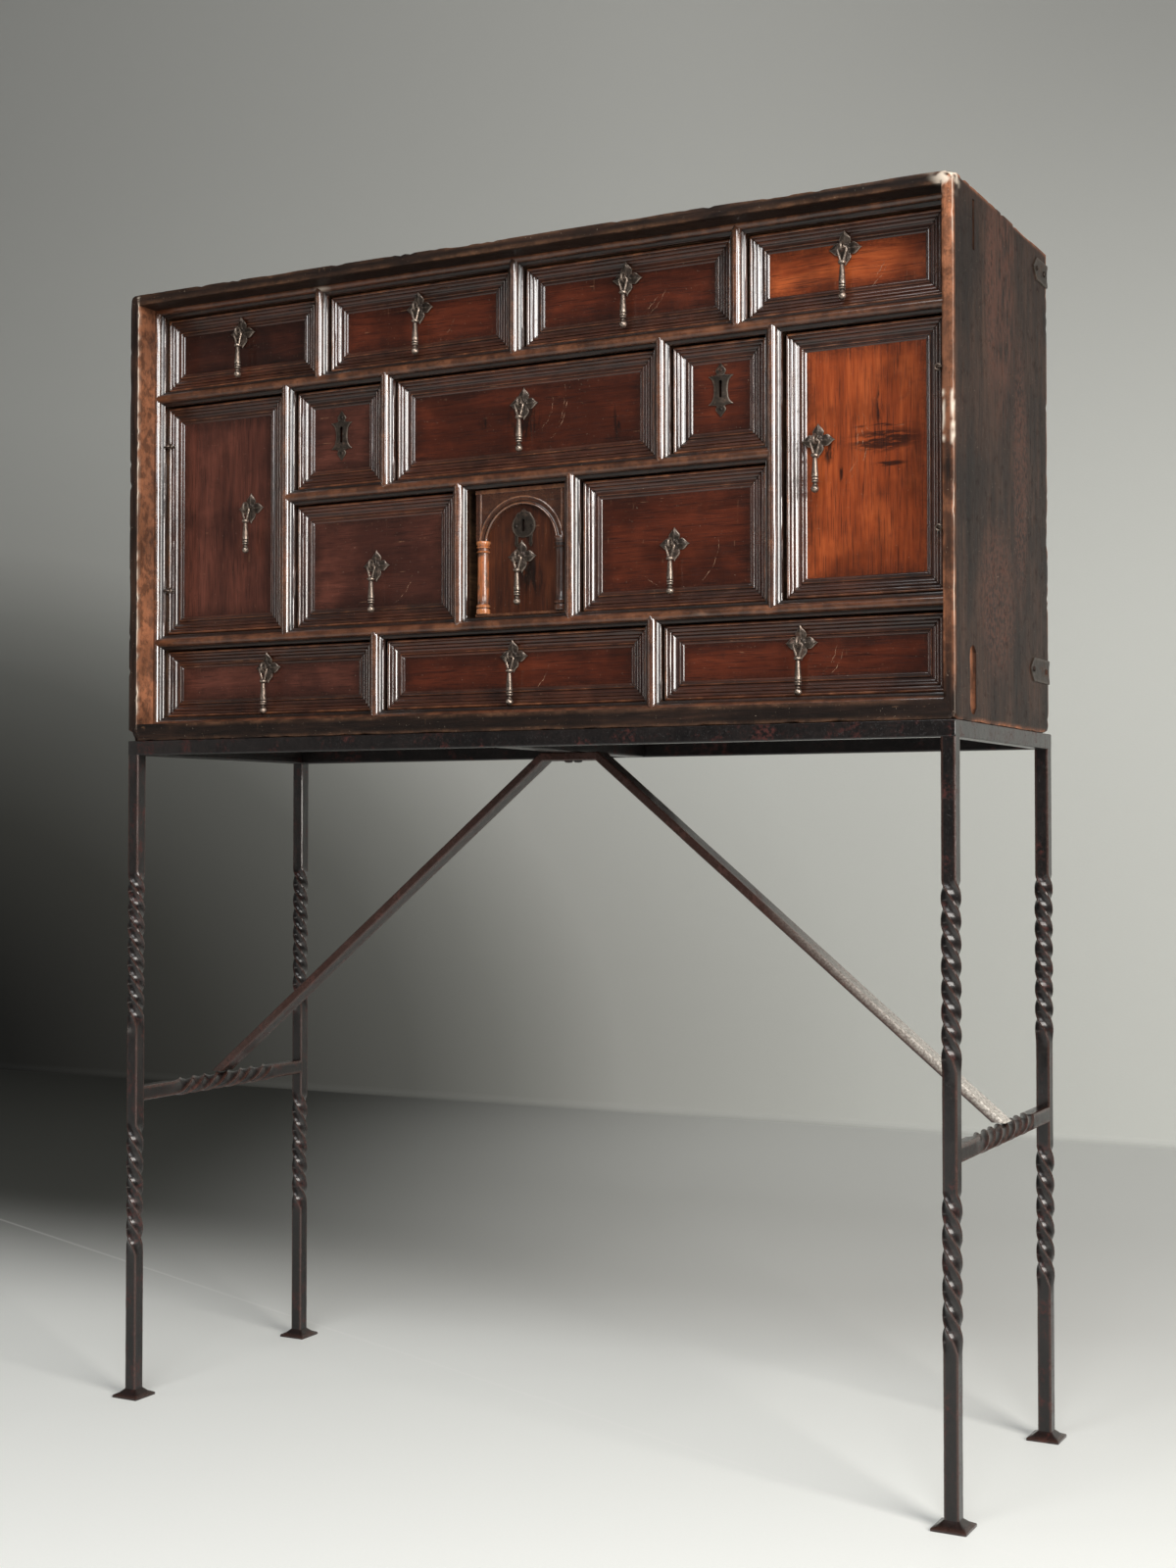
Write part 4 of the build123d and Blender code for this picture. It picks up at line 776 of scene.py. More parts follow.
for name, work in (("rail_strips", rails), ("divider_strips", dividers)):
    work.piece(name, [strip_across, strip_upright], "cabinet", "front_walnut", ["front_mouldings"])


# ---------------------------------------------------------------- Moulded fronts
# Every drawer and side door has a flat panel framed by a mitred walnut moulding: three reeds,
# a hollow and two small beads. Drawers run horizontal grain, doors upright grain.

panel_y = -132.0
sink = 6.0
mitre_line = 0.55
moulding = [(0.0, 0.0), (0.0, 4.2), (0.25, 4.6)]
for through, end, pieces, quirk in (
        ((2.0, sink), (3.9, 4.7), 6, [(4.1, 4.2), (4.3, 5.0)]),
        ((6.4, 4.5), (7.9, 3.2), 5, [(8.1, 2.8), (8.4, 3.9)]),
        ((10.6, 3.3), (12.0, 2.0), 5, [(12.2, 1.7)]), ((13.9, 0.95), (16.1, 0.8), 5, []),
        ((17.5, 2.1), (18.8, 0.8), 5, []), ((20.4, 1.0), (22.2, 0.0), 5, [])):
    moulding += arc(moulding[-1], through, end, pieces) + quirk


def moulding_marks(u, h):
    """How worn the moulding is at a point of its section, and how dark its quirks and bead edges are: dirt,
    and painted shade in these recesses.
    """
    worn = 0.6 if h > 5.6 else 0.3 if 4.2 < u < 5.0 or 8.3 < u < 9.0 else 0.35 if 17 < u < 18 else 0.05
    quirk = min(abs(u - v) for v in (4.05, 8.05, 12.15))
    bead_edge = min(abs(u - v) for v in (16.0, 18.8, 22.2))
    deep = 0.9 if quirk < 0.2 or h < 0.5 and u < 1 else 0.55 if bead_edge < 0.5 else 0.0
    return worn, deep


moulding_tones = ((22, 11, 7), (50, 25, 16), (86, 44, 27), (136, 86, 56))
edge_across = walnut("moulding_across", "X", moulding_tones, gloss=0.32, coat=0.7,
                     dust=0.4, shift=8.0, under=0.3, span=0.24, open_grain=0.3)
edge_upright = walnut("moulding_upright", "Z", moulding_tones, gloss=0.17, coat=1.0,
                      dust=0.3, shift=9.0, under=0.8, span=0.24, open_grain=0.1)


def varnished(*tones, gloss=0.34, coat=0.45, dust=0.4):
    """The look that every panel of one colour shares."""
    return {"tones": tones, "gloss": gloss, "coat": coat, "dust": dust, "span": 0.22, "open_grain": 0.45}


def soot_stains(*spots):
    """Dark stains on a panel, each given by its place (x, z) and its half width and height."""
    return [((x, panel_y, z), (wide, 90.0, high), (18, 12, 9)) for x, z, wide, high in spots]


# The run from greyish plum on the left-hand fronts to orange on the right-hand ones is partly painted light:
# the plum carries a painted grey haze of reflected light. The rest is the wood's own tone.
red = varnished((34, 14, 8), (72, 31, 18), (100, 46, 27), (158, 90, 52), coat=0.4, dust=0.45)
orange = varnished((60, 25, 11), (128, 57, 27), (170, 86, 44), (206, 124, 68), gloss=0.32)
plum = varnished((38, 19, 15), (74, 40, 31), (102, 58, 46), (150, 88, 58), gloss=0.38, coat=0.35, dust=0.5)
brown = varnished((24, 11, 8), (46, 21, 14), (72, 36, 24), (134, 84, 54), gloss=0.36, coat=0.35, dust=0.5)
wide_stains = soot_stains((128.0, 1180.0, 7.0, 34.0), (-50.0, 1190.0, 9.0, 11.0), (5.0, 1190.0, 30.0, 34.0))
door_stains = soot_stains(
    (446.0, 1126.0, 52.0, 17.0), (442.0, 1160.0, 6.0, 36.0), (398.0, 1092.0, 3.0, 16.0),
    (452.0, 1100.0, 26.0, 4.0), (444.0, 1142.0, 40.0, 3.0), (384.0, 1120.0, 9.0, 20.0))
panel_finish = {
    "red": walnut("panel_red", "X", shift=10.0, **red),
    "wide": walnut("panel_wide", "X", shift=10.4, stains=wide_stains, **red),
    "orange": walnut("panel_orange", "X", shift=11.0, **orange),
    "plum": walnut("panel_plum", "X", shift=12.0, **plum),
    "brown": walnut("panel_brown", "X", shift=13.0, **brown),
    "door_orange": walnut("door_orange", "Z", shift=14.0, stains=door_stains, **orange),
    "door_plum": walnut("door_plum", "Z", shift=15.0, **plum),
}
drawer_stock = walnut("drawer_stock", "Y", ((62, 42, 30), (98, 70, 48), (128, 94, 66), (150, 116, 84)),
                      gloss=0.58, coat=0.0, dust=0.7, shift=16.0)
scrape = Finish("scraped_lines")
scraped = scrape.surface((176, 140, 112), 0.55, scrape.relief(scrape.noise(1.2, 2), 0.1),
                         cover=scrape.noise(9, 4, shift=2.0).rise(0.42, 0.6) * 0.55)


def side_stations(length):
    """Places along one side of a moulding: a fine mitre line at each end."""
    middle = np.linspace(4.0, length - 4.0, max(3, int(length / 11)))
    return np.concatenate([[0.0, mitre_line], middle, [length - mitre_line]])


def moulded_front(work, x_low, x_high, z_low, z_high, thickness, seed):
    """Rings of the moulding's section, one inside the other, closed by the panel and the back."""
    width, height = x_high - x_low, z_high - z_low
    along_x, along_z = side_stations(width), side_stations(height)
    # The front's outer edge faces, down in the gap, and the panel's border under the moulding are darkened:
    # partly dirt, partly painted shade, fading out into the panel.
    section = [(0.0, -thickness, 0.0, 0.6), (0.0, -thickness / 2, 0.0, 0.8)]
    section += [(u, h, *moulding_marks(u, h)) for u, h in moulding]
    section += [(23.0, 0.0, 0.0, 0.5), (min(38.0, height * 0.42), 0.0, 0.0, 0.0)]
    points, worn, deep = [], [], []
    for u, h, rubbed, dirt_and_shade in section:
        for side in range(4):
            length, along = (height, along_z) if side % 2 else (width, along_x)
            for k, s in enumerate(along):
                inner = length - 2 * u
                a = u + (inner - (length - s) if s > length - 1 else s if s < 1 else s * inner / length)
                x, z = ((x_low + a, z_low + u), (x_high - u, z_low + a),
                        (x_high - a, z_high - u), (x_low + u, z_high - a))[side]
                raised, wear, mitre = h, 0.0, k == 0 and h > 0.0
                if h > 0.0:
                    spot = Vector((x * 0.05, z * 0.05, seed + u * 0.02))
                    wear = noise.noise(spot * 3.1)
                    raised = h * (1 + 0.05 * noise.noise(spot)) - (h > 3.9) * max(0.0, wear) * 0.9
                    raised = min(raised, sink) - 0.55 * (mitre and u > 0.1) * min(1.0, h)
                points.append((x, panel_y - raised, z))
                worn.append(max(0.0, min(1.0, rubbed * (0.7 + 1.1 * wear))) * (not mitre))
                deep.append(max(dirt_and_shade, mitre * 0.8))
    points, faces = skin(np.reshape(points, (len(section), -1, 3)))
    sides = ([0] * len(along_x) + [1] * len(along_z)) * 2
    kinds = sides * (len(section) - 3) + [2] * 2 * len(sides) + [3, 2]
    work.add(points, faces, kinds, worn=worn, deep=deep)


def scratch_arc(work, x, z, radius, start, end):
    """A thin scrape in the varnish on an arc about a pull."""
    turns = np.linspace(math.radians(start), math.radians(end), 26)
    points = []
    for k, turn in enumerate(turns):
        half = 0.275 * math.sin(math.pi * (k + 0.5) / len(turns)) * (1 + 0.4 * math.sin(k * 1.7))
        drift = 0.5 * math.sin(k * 0.9 + radius)
        for r in (radius + drift - half, radius + drift + half):
            points.append((x + r * math.cos(turn), panel_y - 0.06, z + r * math.sin(turn)))
    faces = [(k, k + 1, k + 3, k + 2) for k in range(0, 2 * len(turns) - 2, 2)]
    work.add(points, faces, 4)


def front_piece(work, name, colour):
    """Hands over a drawer or side door, its panel of that colour."""
    return work.piece(name + "_wood", [edge_across, edge_upright, panel_finish[colour], drawer_stock,
                                       scraped], name, "front_walnut", [name])


# A keyhole is a round eye over a slot, centred on its plate.
keyhole = [(1.75 * math.cos(a), 8.6 + 2.6 * math.sin(a)) for a in np.linspace(-0.55, math.pi + 0.55, 12)]
keyhole += [(-1.35, -7.8), (-0.9, -8.4), (0.9, -8.4), (1.35, -7.8)]

front_gap, runner_gap, door_gap = 1.2, 0.3, 2.5
front_board, door_board = 12.0, 8.0
drawer_inner_y, door_inner_y = panel_y + front_board, panel_y + door_board
box_back_y = 158.0
box_side, box_floor, box_drop = 8.0, 5.0, 4.0
lock_left, lock_right, lock_portal = (-251.0, 1193.0), (256.5, 1198.0), (5.3, 1064.0)
top_lines = (-wall_line_x,) + top_dividers + (wall_line_x,)
bottom_lines = (-wall_line_x,) + bottom_dividers + (wall_line_x,)

drawers = {}
for row, lines, levels, colours in (
        ("top", top_lines, (rail_high_z, top_line_z), ("brown", "red", "red", "orange")),
        ("bottom", bottom_lines, (floor_line_z, rail_low_z), ("plum", "red", "red"))):
    for i, colour in enumerate(colours):
        drawers[f"drawer_{row}_{i + 1}"] = (lines[i], lines[i + 1], *levels, colour)
for name, left, right, levels, colour in (
        ("lock_left", -tall_x, middle_dividers[0], (rail_mid_z, rail_high_z), "plum"),
        ("wide", *middle_dividers, (rail_mid_z, rail_high_z), "wide"),
        ("lock_right", middle_dividers[1], tall_x, (rail_mid_z, rail_high_z), "red"),
        ("left", -tall_x, -portal_x, (rail_low_z, rail_mid_z), "plum"),
        ("right", portal_x, tall_x, (rail_low_z, rail_mid_z), "red")):
    drawers["drawer_" + name] = (left, right, *levels, colour)

scrapes = {
    "drawer_wide": (5.5, 1207, (56, -52, 22), (53, -30, 6), (38, -60, 10)),
    "drawer_top_4": (404.25, 1336, (52, -70, -12), (47, -50, -20)),
    "drawer_top_3": (141, 1336, (50, -60, -18), (44, -66, -30)),
    "drawer_top_2": (-137.5, 1336, (50, -62, -20)),
    "drawer_right": (199.5, 1030, (54, -66, 12), (50, -140, -112)),
    "drawer_left": (-199.5, 1030, (53, -62, -14)),
    "drawer_bottom_3": (352.25, 912, (48, -58, -8), (40, -50, 6)),
    "drawer_bottom_2": (-7, 912, (47, -60, -12)),
}
for number, (name, (left, right, low, high, colour)) in enumerate(drawers.items()):
    x_low, x_high = left + half_strip + front_gap, right - half_strip - front_gap
    z_low, z_high = low + half_strip + runner_gap, high - half_strip - front_gap
    work = Work()
    moulded_front(work, x_low, x_high, z_low, z_high, front_board, number * 7.0)
    y, sides_z = (drawer_inner_y + 0.05, box_back_y), (z_low + box_floor, z_high - box_drop)
    for limits in (((x_low, x_low + box_side), y, sides_z), ((x_high - box_side, x_high), y, sides_z),
                   ((x_low + box_side, x_high - box_side), (box_back_y - box_side, box_back_y), sides_z),
                   ((x_low, x_high), y, (z_low, z_low + box_floor - 0.05))):
        thin_board(work, *limits, 3)
    x, z, *marks = scrapes.get(name, (0, 0))
    for mark in marks:
        scratch_arc(work, x, z, *mark)
    made = front_piece(work, name, colour)
    if "lock" in name:
        spot = lock_left if "left" in name else lock_right
        pierced(made, keyhole, *spot, panel_y - 3.0, drawer_inner_y - 0.4)


# ---------------------------------------------------------------- Side doors
# The two side doors are thinner boards with the same moulding and upright grain. They hang on
# linked wire eyes at their outer edges.

pull_left_door, pull_right_door = (-387.5, 1113.6), (372.6, 1130.6)
door_edges = (tall_x + half_strip + door_gap, wall_line_x - half_strip - front_gap)
for name, side, colour, seed, marks in (
        ("door_left", -1, "door_plum", 91.0, ()),
        ("door_right", 1, "door_orange", 97.0, ((56, -62, 28), (50, -58, 30), (44, -20, 20)))):
    work = Work()
    moulded_front(work, *sorted(side * x for x in door_edges), rail_low_z + half_strip + front_gap,
                  rail_high_z - half_strip - front_gap, door_board, seed)
    for mark in marks:
        scratch_arc(work, *pull_right_door, *mark)
    front_piece(work, name, colour)


# ---------------------------------------------------------------- Portal door
# The small middle door is carved as an arch on two turned half columns. Its panel is plain walnut,
# the left column is polished light by hands, and it turns on pins behind the right column. The right
# column is darker: partly less polish, partly painted shade.

portal_low_z, portal_high_z = 959.7, 1109.3
portal_left_x, portal_right_x = -57.0, 64.3
portal_inner_y = -125.5
arch_x, arch_z, capital_z = 3.65, 1043.0, 1048.7
column_y = -134.0
left_column_x, right_column_x = -48.5, 55.8
column_foot, door_rounding, trim_rise = 3.5, 6.4, 6.0
handled = soot_stains((8.0, 1030.0, 20.0, 34.0), (16.0, 1002.0, 22.0, 26.0), (6.0, 1062.0, 18.0, 20.0))
portal_wood = walnut("portal_walnut", "Z", shift=17.0, stains=handled,
                     **varnished((28, 14, 9), (60, 30, 18), (92, 50, 29), (140, 90, 58)))
portal_trim = walnut("portal_trim", "X", ((24, 12, 8), (48, 24, 15), (74, 40, 25), (122, 78, 50)),
                     gloss=0.22, coat=0.9, dust=0.3, shift=18.0, under=0.5, span=0.24, open_grain=0.3)


def polished_column(name, dark, light, rubbed, inlay):
    """Turned wood handled bright, with dark scraps of inlay left in it."""
    wood = Finish(name)
    worn, deep = wood.mark("worn"), wood.mark("deep")
    grain = wood.noise(4, 4, (1, 1, 10.0), 1.0)
    patch = wood.noise(9, 3, (1, 1, 1.6), 5.0).rise(0.54, 0.6) * inlay
    colour = wood.colours(grain, (0.36, dark), (0.64, light))
    for share, laid in ((patch, (22, 13, 9)), (worn * 0.5, rubbed), (deep * 0.85, (18, 10, 7))):
        colour = wood.mix(share, colour, laid)
    normal = wood.relief(grain * 0.5 - patch * 0.5, 0.25, wood.relief(wood.noise(14, 2), 0.5))
    return wood.surface(colour, 0.24 + 0.2 * grain + 0.2 * deep, normal, coat=0.7 - 0.3 * patch,
                        coat_roughness=0.1)


bright_column = polished_column("bright_column", (76, 36, 17), (164, 88, 42), (196, 128, 78), 0.9)
# The right column's darker copy of the finish is partly less polish and partly painted shade, as it stands in
# shade.
dull_column = polished_column("dull_column", (28, 13, 8), (58, 28, 16), (96, 56, 34), 0.6)

slab = Work()
outline = [(portal_left_x, portal_inner_y), (portal_left_x, panel_y), (portal_right_x, panel_y)]
outline += [(portal_right_x - door_rounding * (1 - math.cos(a)),
             portal_inner_y - door_rounding * (1 - math.sin(a))) for a in np.linspace(0.0, math.pi / 2, 7)]
levels = (portal_low_z, portal_low_z + 0.5, portal_high_z - 0.5, portal_high_z)
slab.add(*skin(np.array([[(x, y, z) for x, y in outline] for z in levels])))
portal_panel = slab.piece("portal_panel", [portal_wood], "door_portal", "front_walnut", ["door_portal"])


def raised_bar(work, x, z, worn, round_top=False):
    """A fillet or bead laid on the portal panel."""
    upright = z[1] - z[0] > x[1] - x[0]
    low, high = x if upright else z
    half = (high - low) / 2
    crown = [(low, trim_rise - 0.4), (low + 0.4, trim_rise), (high - 0.4, trim_rise), (high, trim_rise - 0.4)]
    if round_top:
        crown = [(low + half - half * math.cos(a), trim_rise - 0.9 * (1 - math.sin(a)))
                 for a in np.linspace(0.1, math.pi - 0.1, 6)]
    rings = []
    for s in np.linspace(*z, 12) if upright else np.linspace(*x, 24):
        sway = 0.12 * lump(s * 0.12, low, 3.0)
        rings.append([(c + sway, panel_y - h, s) if upright else (s, panel_y - h, c + sway)
                      for c, h in ((low, 0.0), *crown, (high, 0.0))])
    points, faces = skin(np.array(rings)[:, ::-1 if upright else 1])
    work.add(points, faces, worn=worn)


trim = Work()
start = math.asin((capital_z - arch_z) / 51.5)
right_corner, left_corner = (math.atan2(portal_high_z - arch_z, x - arch_x)
                             for x in (portal_right_x, portal_left_x))
turns = sorted({*np.linspace(start, math.pi - start, 34).tolist(), right_corner, left_corner})
spandrel = []
for turn in turns:
    c, s = math.cos(turn), math.sin(turn)
    wall = portal_right_x if c > 0 else portal_left_x
    reach = min((portal_high_z - arch_z) / s, (wall - arch_x) / c if abs(c) > 1e-6 else 1e9)
    spandrel.append([(arch_x + r * c, panel_y - h, arch_z + r * s)
                     for r, h in ((51.0, 0.0), (51.0, 4.5), (reach, 4.5), (reach, 0.0))])
trim.add(*skin(np.array(spandrel)), worn=0.15)
arch_section = [(56.5, 0.0), (56.5, 5.0), (56.1, 5.7), (55.4, 6.0), (54.7, 5.7), (54.2, 4.6),
                (52.8, 3.9), (51.2, 3.6), (49.8, 3.8), (48.8, 4.6), (48.4, 5.7), (47.7, 6.0),
                (47.0, 5.7), (46.5, 5.0), (46.5, 0.0)]
archivolt = [[(arch_x + r * math.cos(turn), panel_y - h, arch_z + r * math.sin(turn))
              for r, h in arch_section] for turn in np.linspace(start - 0.02, math.pi - start + 0.02, 48)]
trim.add(*skin(np.array(archivolt)),
         worn=[0.85 if h > 5.5 else 0.25 for _, h in arch_section] * len(archivolt),
         deep=[0.6 if 3.0 < h < 4.0 else 0.0 for _, h in arch_section] * len(archivolt))
full_width = (portal_left_x, portal_right_x)
raised_bar(trim, full_width, (portal_high_z - 5.0, portal_high_z), 0.6)
raised_bar(trim, full_width, (portal_low_z, portal_low_z + column_foot), 0.6)
for x in (portal_left_x + 6.5, portal_right_x - 6.5):
    raised_bar(trim, (x - 1.0, x + 1.0), (capital_z + 5.0, portal_high_z - 5.0), 0.8, round_top=True)
trim.piece("portal_trim_work", [portal_trim], "door_portal", "front_walnut", ["door_portal"])


def turned(work, profile, x, y, z, segments=28, wobble=0.0, **marks):
    """A form turned on an upright axis; the profile runs down from its top as (radius, height)."""
    points, faces = [(x, y, z + profile[0][1])], []
    for radius, height in profile[1:-1]:
        for k in range(segments):
            angle = full_turn * k / segments
            r = radius * (1 + wobble * lump(math.cos(angle), math.sin(angle), height * 0.2))
            points.append((x + r * math.cos(angle), y + r * math.sin(angle), z + height))
    foot = len(points)
    points.append((x, y, z + profile[-1][1]))
    for k in range(segments):
        n = (k + 1) % segments
        faces.append((0, 1 + k, 1 + n))
        faces += [(a + k, a + segments + k, a + segments + n, a + n)
                  for a in range(1, foot - segments, segments)]
        faces.append((foot - segments + n, foot - segments + k, foot))
    spread = {name: [values[0], *np.repeat(values[1:-1], segments), values[-1]]
              for name, values in marks.items()}
    work.add(points, faces, **spread)


column_profile = [(0.0, 85.5), (8.3, 85.5), (8.5, 85.2), (8.5, 83.0), (8.1, 82.5), (7.2, 80.4), (7.0, 79.8),
                  (7.6, 79.4), (8.0, 78.6), (7.6, 77.7), (6.7, 77.4), (6.7, 74.4), (7.4, 74.1), (8.2, 73.2),
                  (7.4, 72.2), (6.6, 71.9), (6.55, 66.0), (6.7, 52.0), (6.9, 36.0), (7.0, 22.0), (6.9, 12.0),
                  (7.4, 11.2), (8.4, 9.6), (8.2, 8.0), (7.2, 7.2), (7.2, 6.4), (8.1, 5.8), (8.5, 4.4),
                  (8.2, 3.4), (8.5, 3.0), (8.5, 0.3), (8.3, 0.0), (0.0, 0.0)]
column_worn = [0.9 if r > 7.9 else 0.3 for r, _ in column_profile]
column_deep = [0.8 if h in (77.4, 74.4, 71.9, 12.0, 7.2, 6.4, 79.8) else 0.0 for _, h in column_profile]
for name, x, finish in (("left_column", left_column_x, bright_column),
                        ("right_column", right_column_x, dull_column)):
    column = Work()
    turned(column, column_profile, x, column_y, portal_low_z + column_foot, worn=column_worn,
           deep=column_deep)
    column.piece(name, [finish], "door_portal", "front_walnut", ["door_portal"])


# ---------------------------------------------------------------- Hinge eyes
# The side doors hang on pairs of linked eyes bent from soft iron wire: one eye is driven into
# the wall strip and its fellow into the door front.

pull_iron = forged_iron("pull_iron", (44, 37, 33), (100, 86, 77), (90, 56, 40), 0.26,
                        metal=0.8, lumps=6.0, rubbed=(184, 168, 154))
hinge_y = nest_front_y - 4.6
hinge_x = 517.0 - 4.4
hinge_radius, hinge_wire = 2.9, 1.25
hinge_levels = {"left": (1201.0, 1016.0), "right": (1195.0, 1026.0)}


def wire(work, path, radius, normal, closed=False, worn=0.3):
    """Round wire along a flat path; normal is square to the plane that the path lies in."""
    path, normal = np.array(path, float), np.array(normal, float)
    count, sides = len(path), 10
    rings = []
    for i, here in enumerate(path):
        before = path[i - 1] if i or closed else here
        after = path[(i + 1) % count] if i < count - 1 or closed else here
        along = (after - before) / np.linalg.norm(after - before)
        across = np.cross(along, normal)
        r = radius * (1 + 0.05 * noise.noise(Vector(here) * 0.6))
        rings.append([here + r * (math.cos(a) * normal + math.sin(a) * across)
                      for a in np.linspace(0, full_turn, sides, endpoint=False)])
    points, faces = skin(np.array(rings), caps=not closed)
    if closed:
        last = (count - 1) * sides
        faces += [(last + j, last + (j + 1) % sides, (j + 1) % sides, j) for j in range(sides)]
    work.add(points, faces, worn=worn)


def hinge_eye(work, x, z, second, normal):
    """A ring of wire through X and the second direction."""
    ring = [np.array((x, hinge_y, z)) + hinge_radius * (math.cos(a) * np.array((1, 0, 0))
                                                        + math.sin(a) * np.array(second))
            for a in np.linspace(0, full_turn, 22, endpoint=False)]
    wire(work, ring, hinge_wire, normal, closed=True)


case_eyes, door_eyes = Work(), {"left": Work(), "right": Work()}
for side, name in ((-1, "left"), (1, "right")):
    for z in hinge_levels[name]:
        hinge_eye(case_eyes, side * hinge_x, z, (0, 1, 0), (0, 0, 1))
        wire(case_eyes, [(side * x, hinge_y, z) for x in (hinge_x + hinge_radius, 519.0, 522.8)],
             hinge_wire, (0, 0, 1))
        hinge_eye(door_eyes[name], side * (hinge_x - hinge_radius), z, (0, 0, 1), (0, 1, 0))
        wire(door_eyes[name], [(side * (hinge_x - 2 * hinge_radius), y, z)
                               for y in (hinge_y, panel_y - 3.0, panel_y + 3.8)], hinge_wire, (0, 0, 1))
case_eyes.piece("case_eyes", [pull_iron], "cabinet", "pull_iron", ["case_hinge_eyes"])
for name, eyes in door_eyes.items():
    eyes.piece(f"door_{name}_eyes", [pull_iron], f"door_{name}", "pull_iron", [f"door_{name}_ironwork"])


# ---------------------------------------------------------------- Pull plates
# Behind each pull lies an iron plate cut into four pointed lobes and raised in soft facets.
# A staple through its middle ends in the eye, and is bent over inside the front.

plate_iron = forged_iron("plate_iron", (32, 27, 24), (74, 64, 57), (84, 50, 36), 0.3,
                         metal=0.8, lumps=6.0, rubbed=(160, 146, 134))
pivot_y = -145.0
lobe = [(19.0, 0.0), (17.6, 0.7), (16.2, 1.7), (14.6, 3.2), (12.8, 4.9), (10.8, 6.2), (8.8, 6.5),
        (7.2, 6.0), (6.0, 5.5), (5.4, 5.4)]
lobe_turns = [math.atan2(b, a) for a, b in lobe]
lobe_reach = [math.hypot(a, b) for a, b in lobe]
lobe_run, lobe_half = np.transpose(lobe[::-1])
plate_rings = (0.12, 0.22, 0.3, 0.38, 0.46, 0.54, 0.62, 0.7, 0.78, 0.85, 0.91, 0.955, 0.985, 1.0, 1.0)


def pull_plate(work, x, z, lift, tilt, inner_y, seed):
    """The four-lobed plate, its eye and its staple."""
    rounds, spokes, quarter = len(plate_rings), 96, math.pi / 2
    lean = math.tan(math.radians(tilt))
    points, worn, deep = [], [], []
    for i, share in enumerate(plate_rings):
        for k in range(spokes):
            turn = full_turn * k / spokes
            off = abs((turn + quarter / 2) % quarter - quarter / 2)
            edge = float(np.interp(off, lobe_turns, lobe_reach))
            r = share * edge * (1 + 0.05 * lump(math.cos(turn) * 1.2, math.sin(turn) * 1.2, seed))
            a, b = r * math.cos(off), r * math.sin(off)
            width = float(np.interp(a, lobe_run, lobe_half)) + 0.01
            facet = max(0.0, 1 - b / max(width, 5.4 if a < 5.4 else 0.2))
            ridge = math.sin(math.pi * min(1.0, max(0.0, (a - 3.6) / 15.4))) ** 0.7
            hub = 1.7 * (1 - float(rise(r, 3.4, 5.6)))
            height = 1.25 + 1.9 * facet ** 0.85 * ridge + hub + 0.15 * lump(a * 0.4, b * 0.4 + k, seed)
            height *= i < rounds - 1
            up = r * math.sin(turn)
            points.append((x + r * math.cos(turn), panel_y - lift - height - max(0.0, up - 4.0) * lean,
                           z + up))
            worn.append(0.9 if share > 0.93 and height else 0.55 if facet > 0.88 and a > 5 else 0.15)
            deep.append(0.9 if 0.3 <= share <= 0.4 and hub < 1.6 and off > 0.2 else 0.0)
    _, faces = skin(np.reshape(points, (rounds, spokes, 3)), caps=False)
    faces = [face[::-1] for face in faces]
    base, last = len(points), (rounds - 1) * spokes
    following = [(k + 1) % spokes for k in range(spokes)]
    faces += [(n, k, base) for k, n in enumerate(following)]
    faces += [(base + 1, last + k, last + n) for k, n in enumerate(following)]
    points += [(x, panel_y - lift - 3.1, z), (x, panel_y - lift - 0.05, z)]
    work.add(points, faces, worn=worn + [0.3, 0.0], deep=deep + [0.0, 0.0])
    eye = [(x, pivot_y + 4.5 * math.cos(a), z + (5.0 if math.sin(a) > 0 else 4.5) * math.sin(a))
           for a in np.linspace(0, full_turn, 26, endpoint=False)]
    wire(work, eye, 1.55, (1, 0, 0), closed=True, worn=0.7)
    wire(work, [(x, y, z) for y in (pivot_y + 4.5, panel_y - 2.0, inner_y + 0.5)], 1.5, (1, 0, 0))
    thin_board(work, (x - 6.0, x + 6.0), (inner_y + 0.02, inner_y + 1.2), (z - 1.5, z + 1.5), arris=0.3)


pulls = {"wide": ((5.5, 1207.0), "drawer_wide"), "left": ((-199.5, 1030.0), "drawer_left"),
         "right": ((199.5, 1030.0), "drawer_right"), "door_left": (pull_left_door, "door_left"),
         "door_right": (pull_right_door, "door_right"), "portal": ((3.0, 1028.7), "door_portal")}
for row, lines, z in (("top", top_lines, 1336.0), ("bottom", bottom_lines, 912.2)):
    for i, (a, b) in enumerate(zip(lines, lines[1:]), start=1):
        pulls[f"{row}_{i}"] = (((a + b) / 2, z), f"drawer_{row}_{i}")
for number, (name, ((x, z), body)) in enumerate(pulls.items()):
    bedded = name[:3] in ("top", "bot")
    lift = 1.4 if bedded else 2.2 if name == "door_right" else 0.0
    inner_y = portal_inner_y if name == "portal" else door_inner_y if "door" in name else drawer_inner_y
    node = f"{body}_ironwork" if "door" in body else f"pull_mount_{name}"
    plate = Work()
    pull_plate(plate, x, z, lift, 14.0 if bedded else 0.0, inner_y, number * 3.1)
    plate.piece(f"plate_{name}", [plate_iron], body, "pull_iron", [node])


# ---------------------------------------------------------------- Drop pulls
# Each drawer and door is drawn open by a turned iron drop. A stirrup links it to the eye; below
# come a collar, a swelling shaft, two rings and a ball.

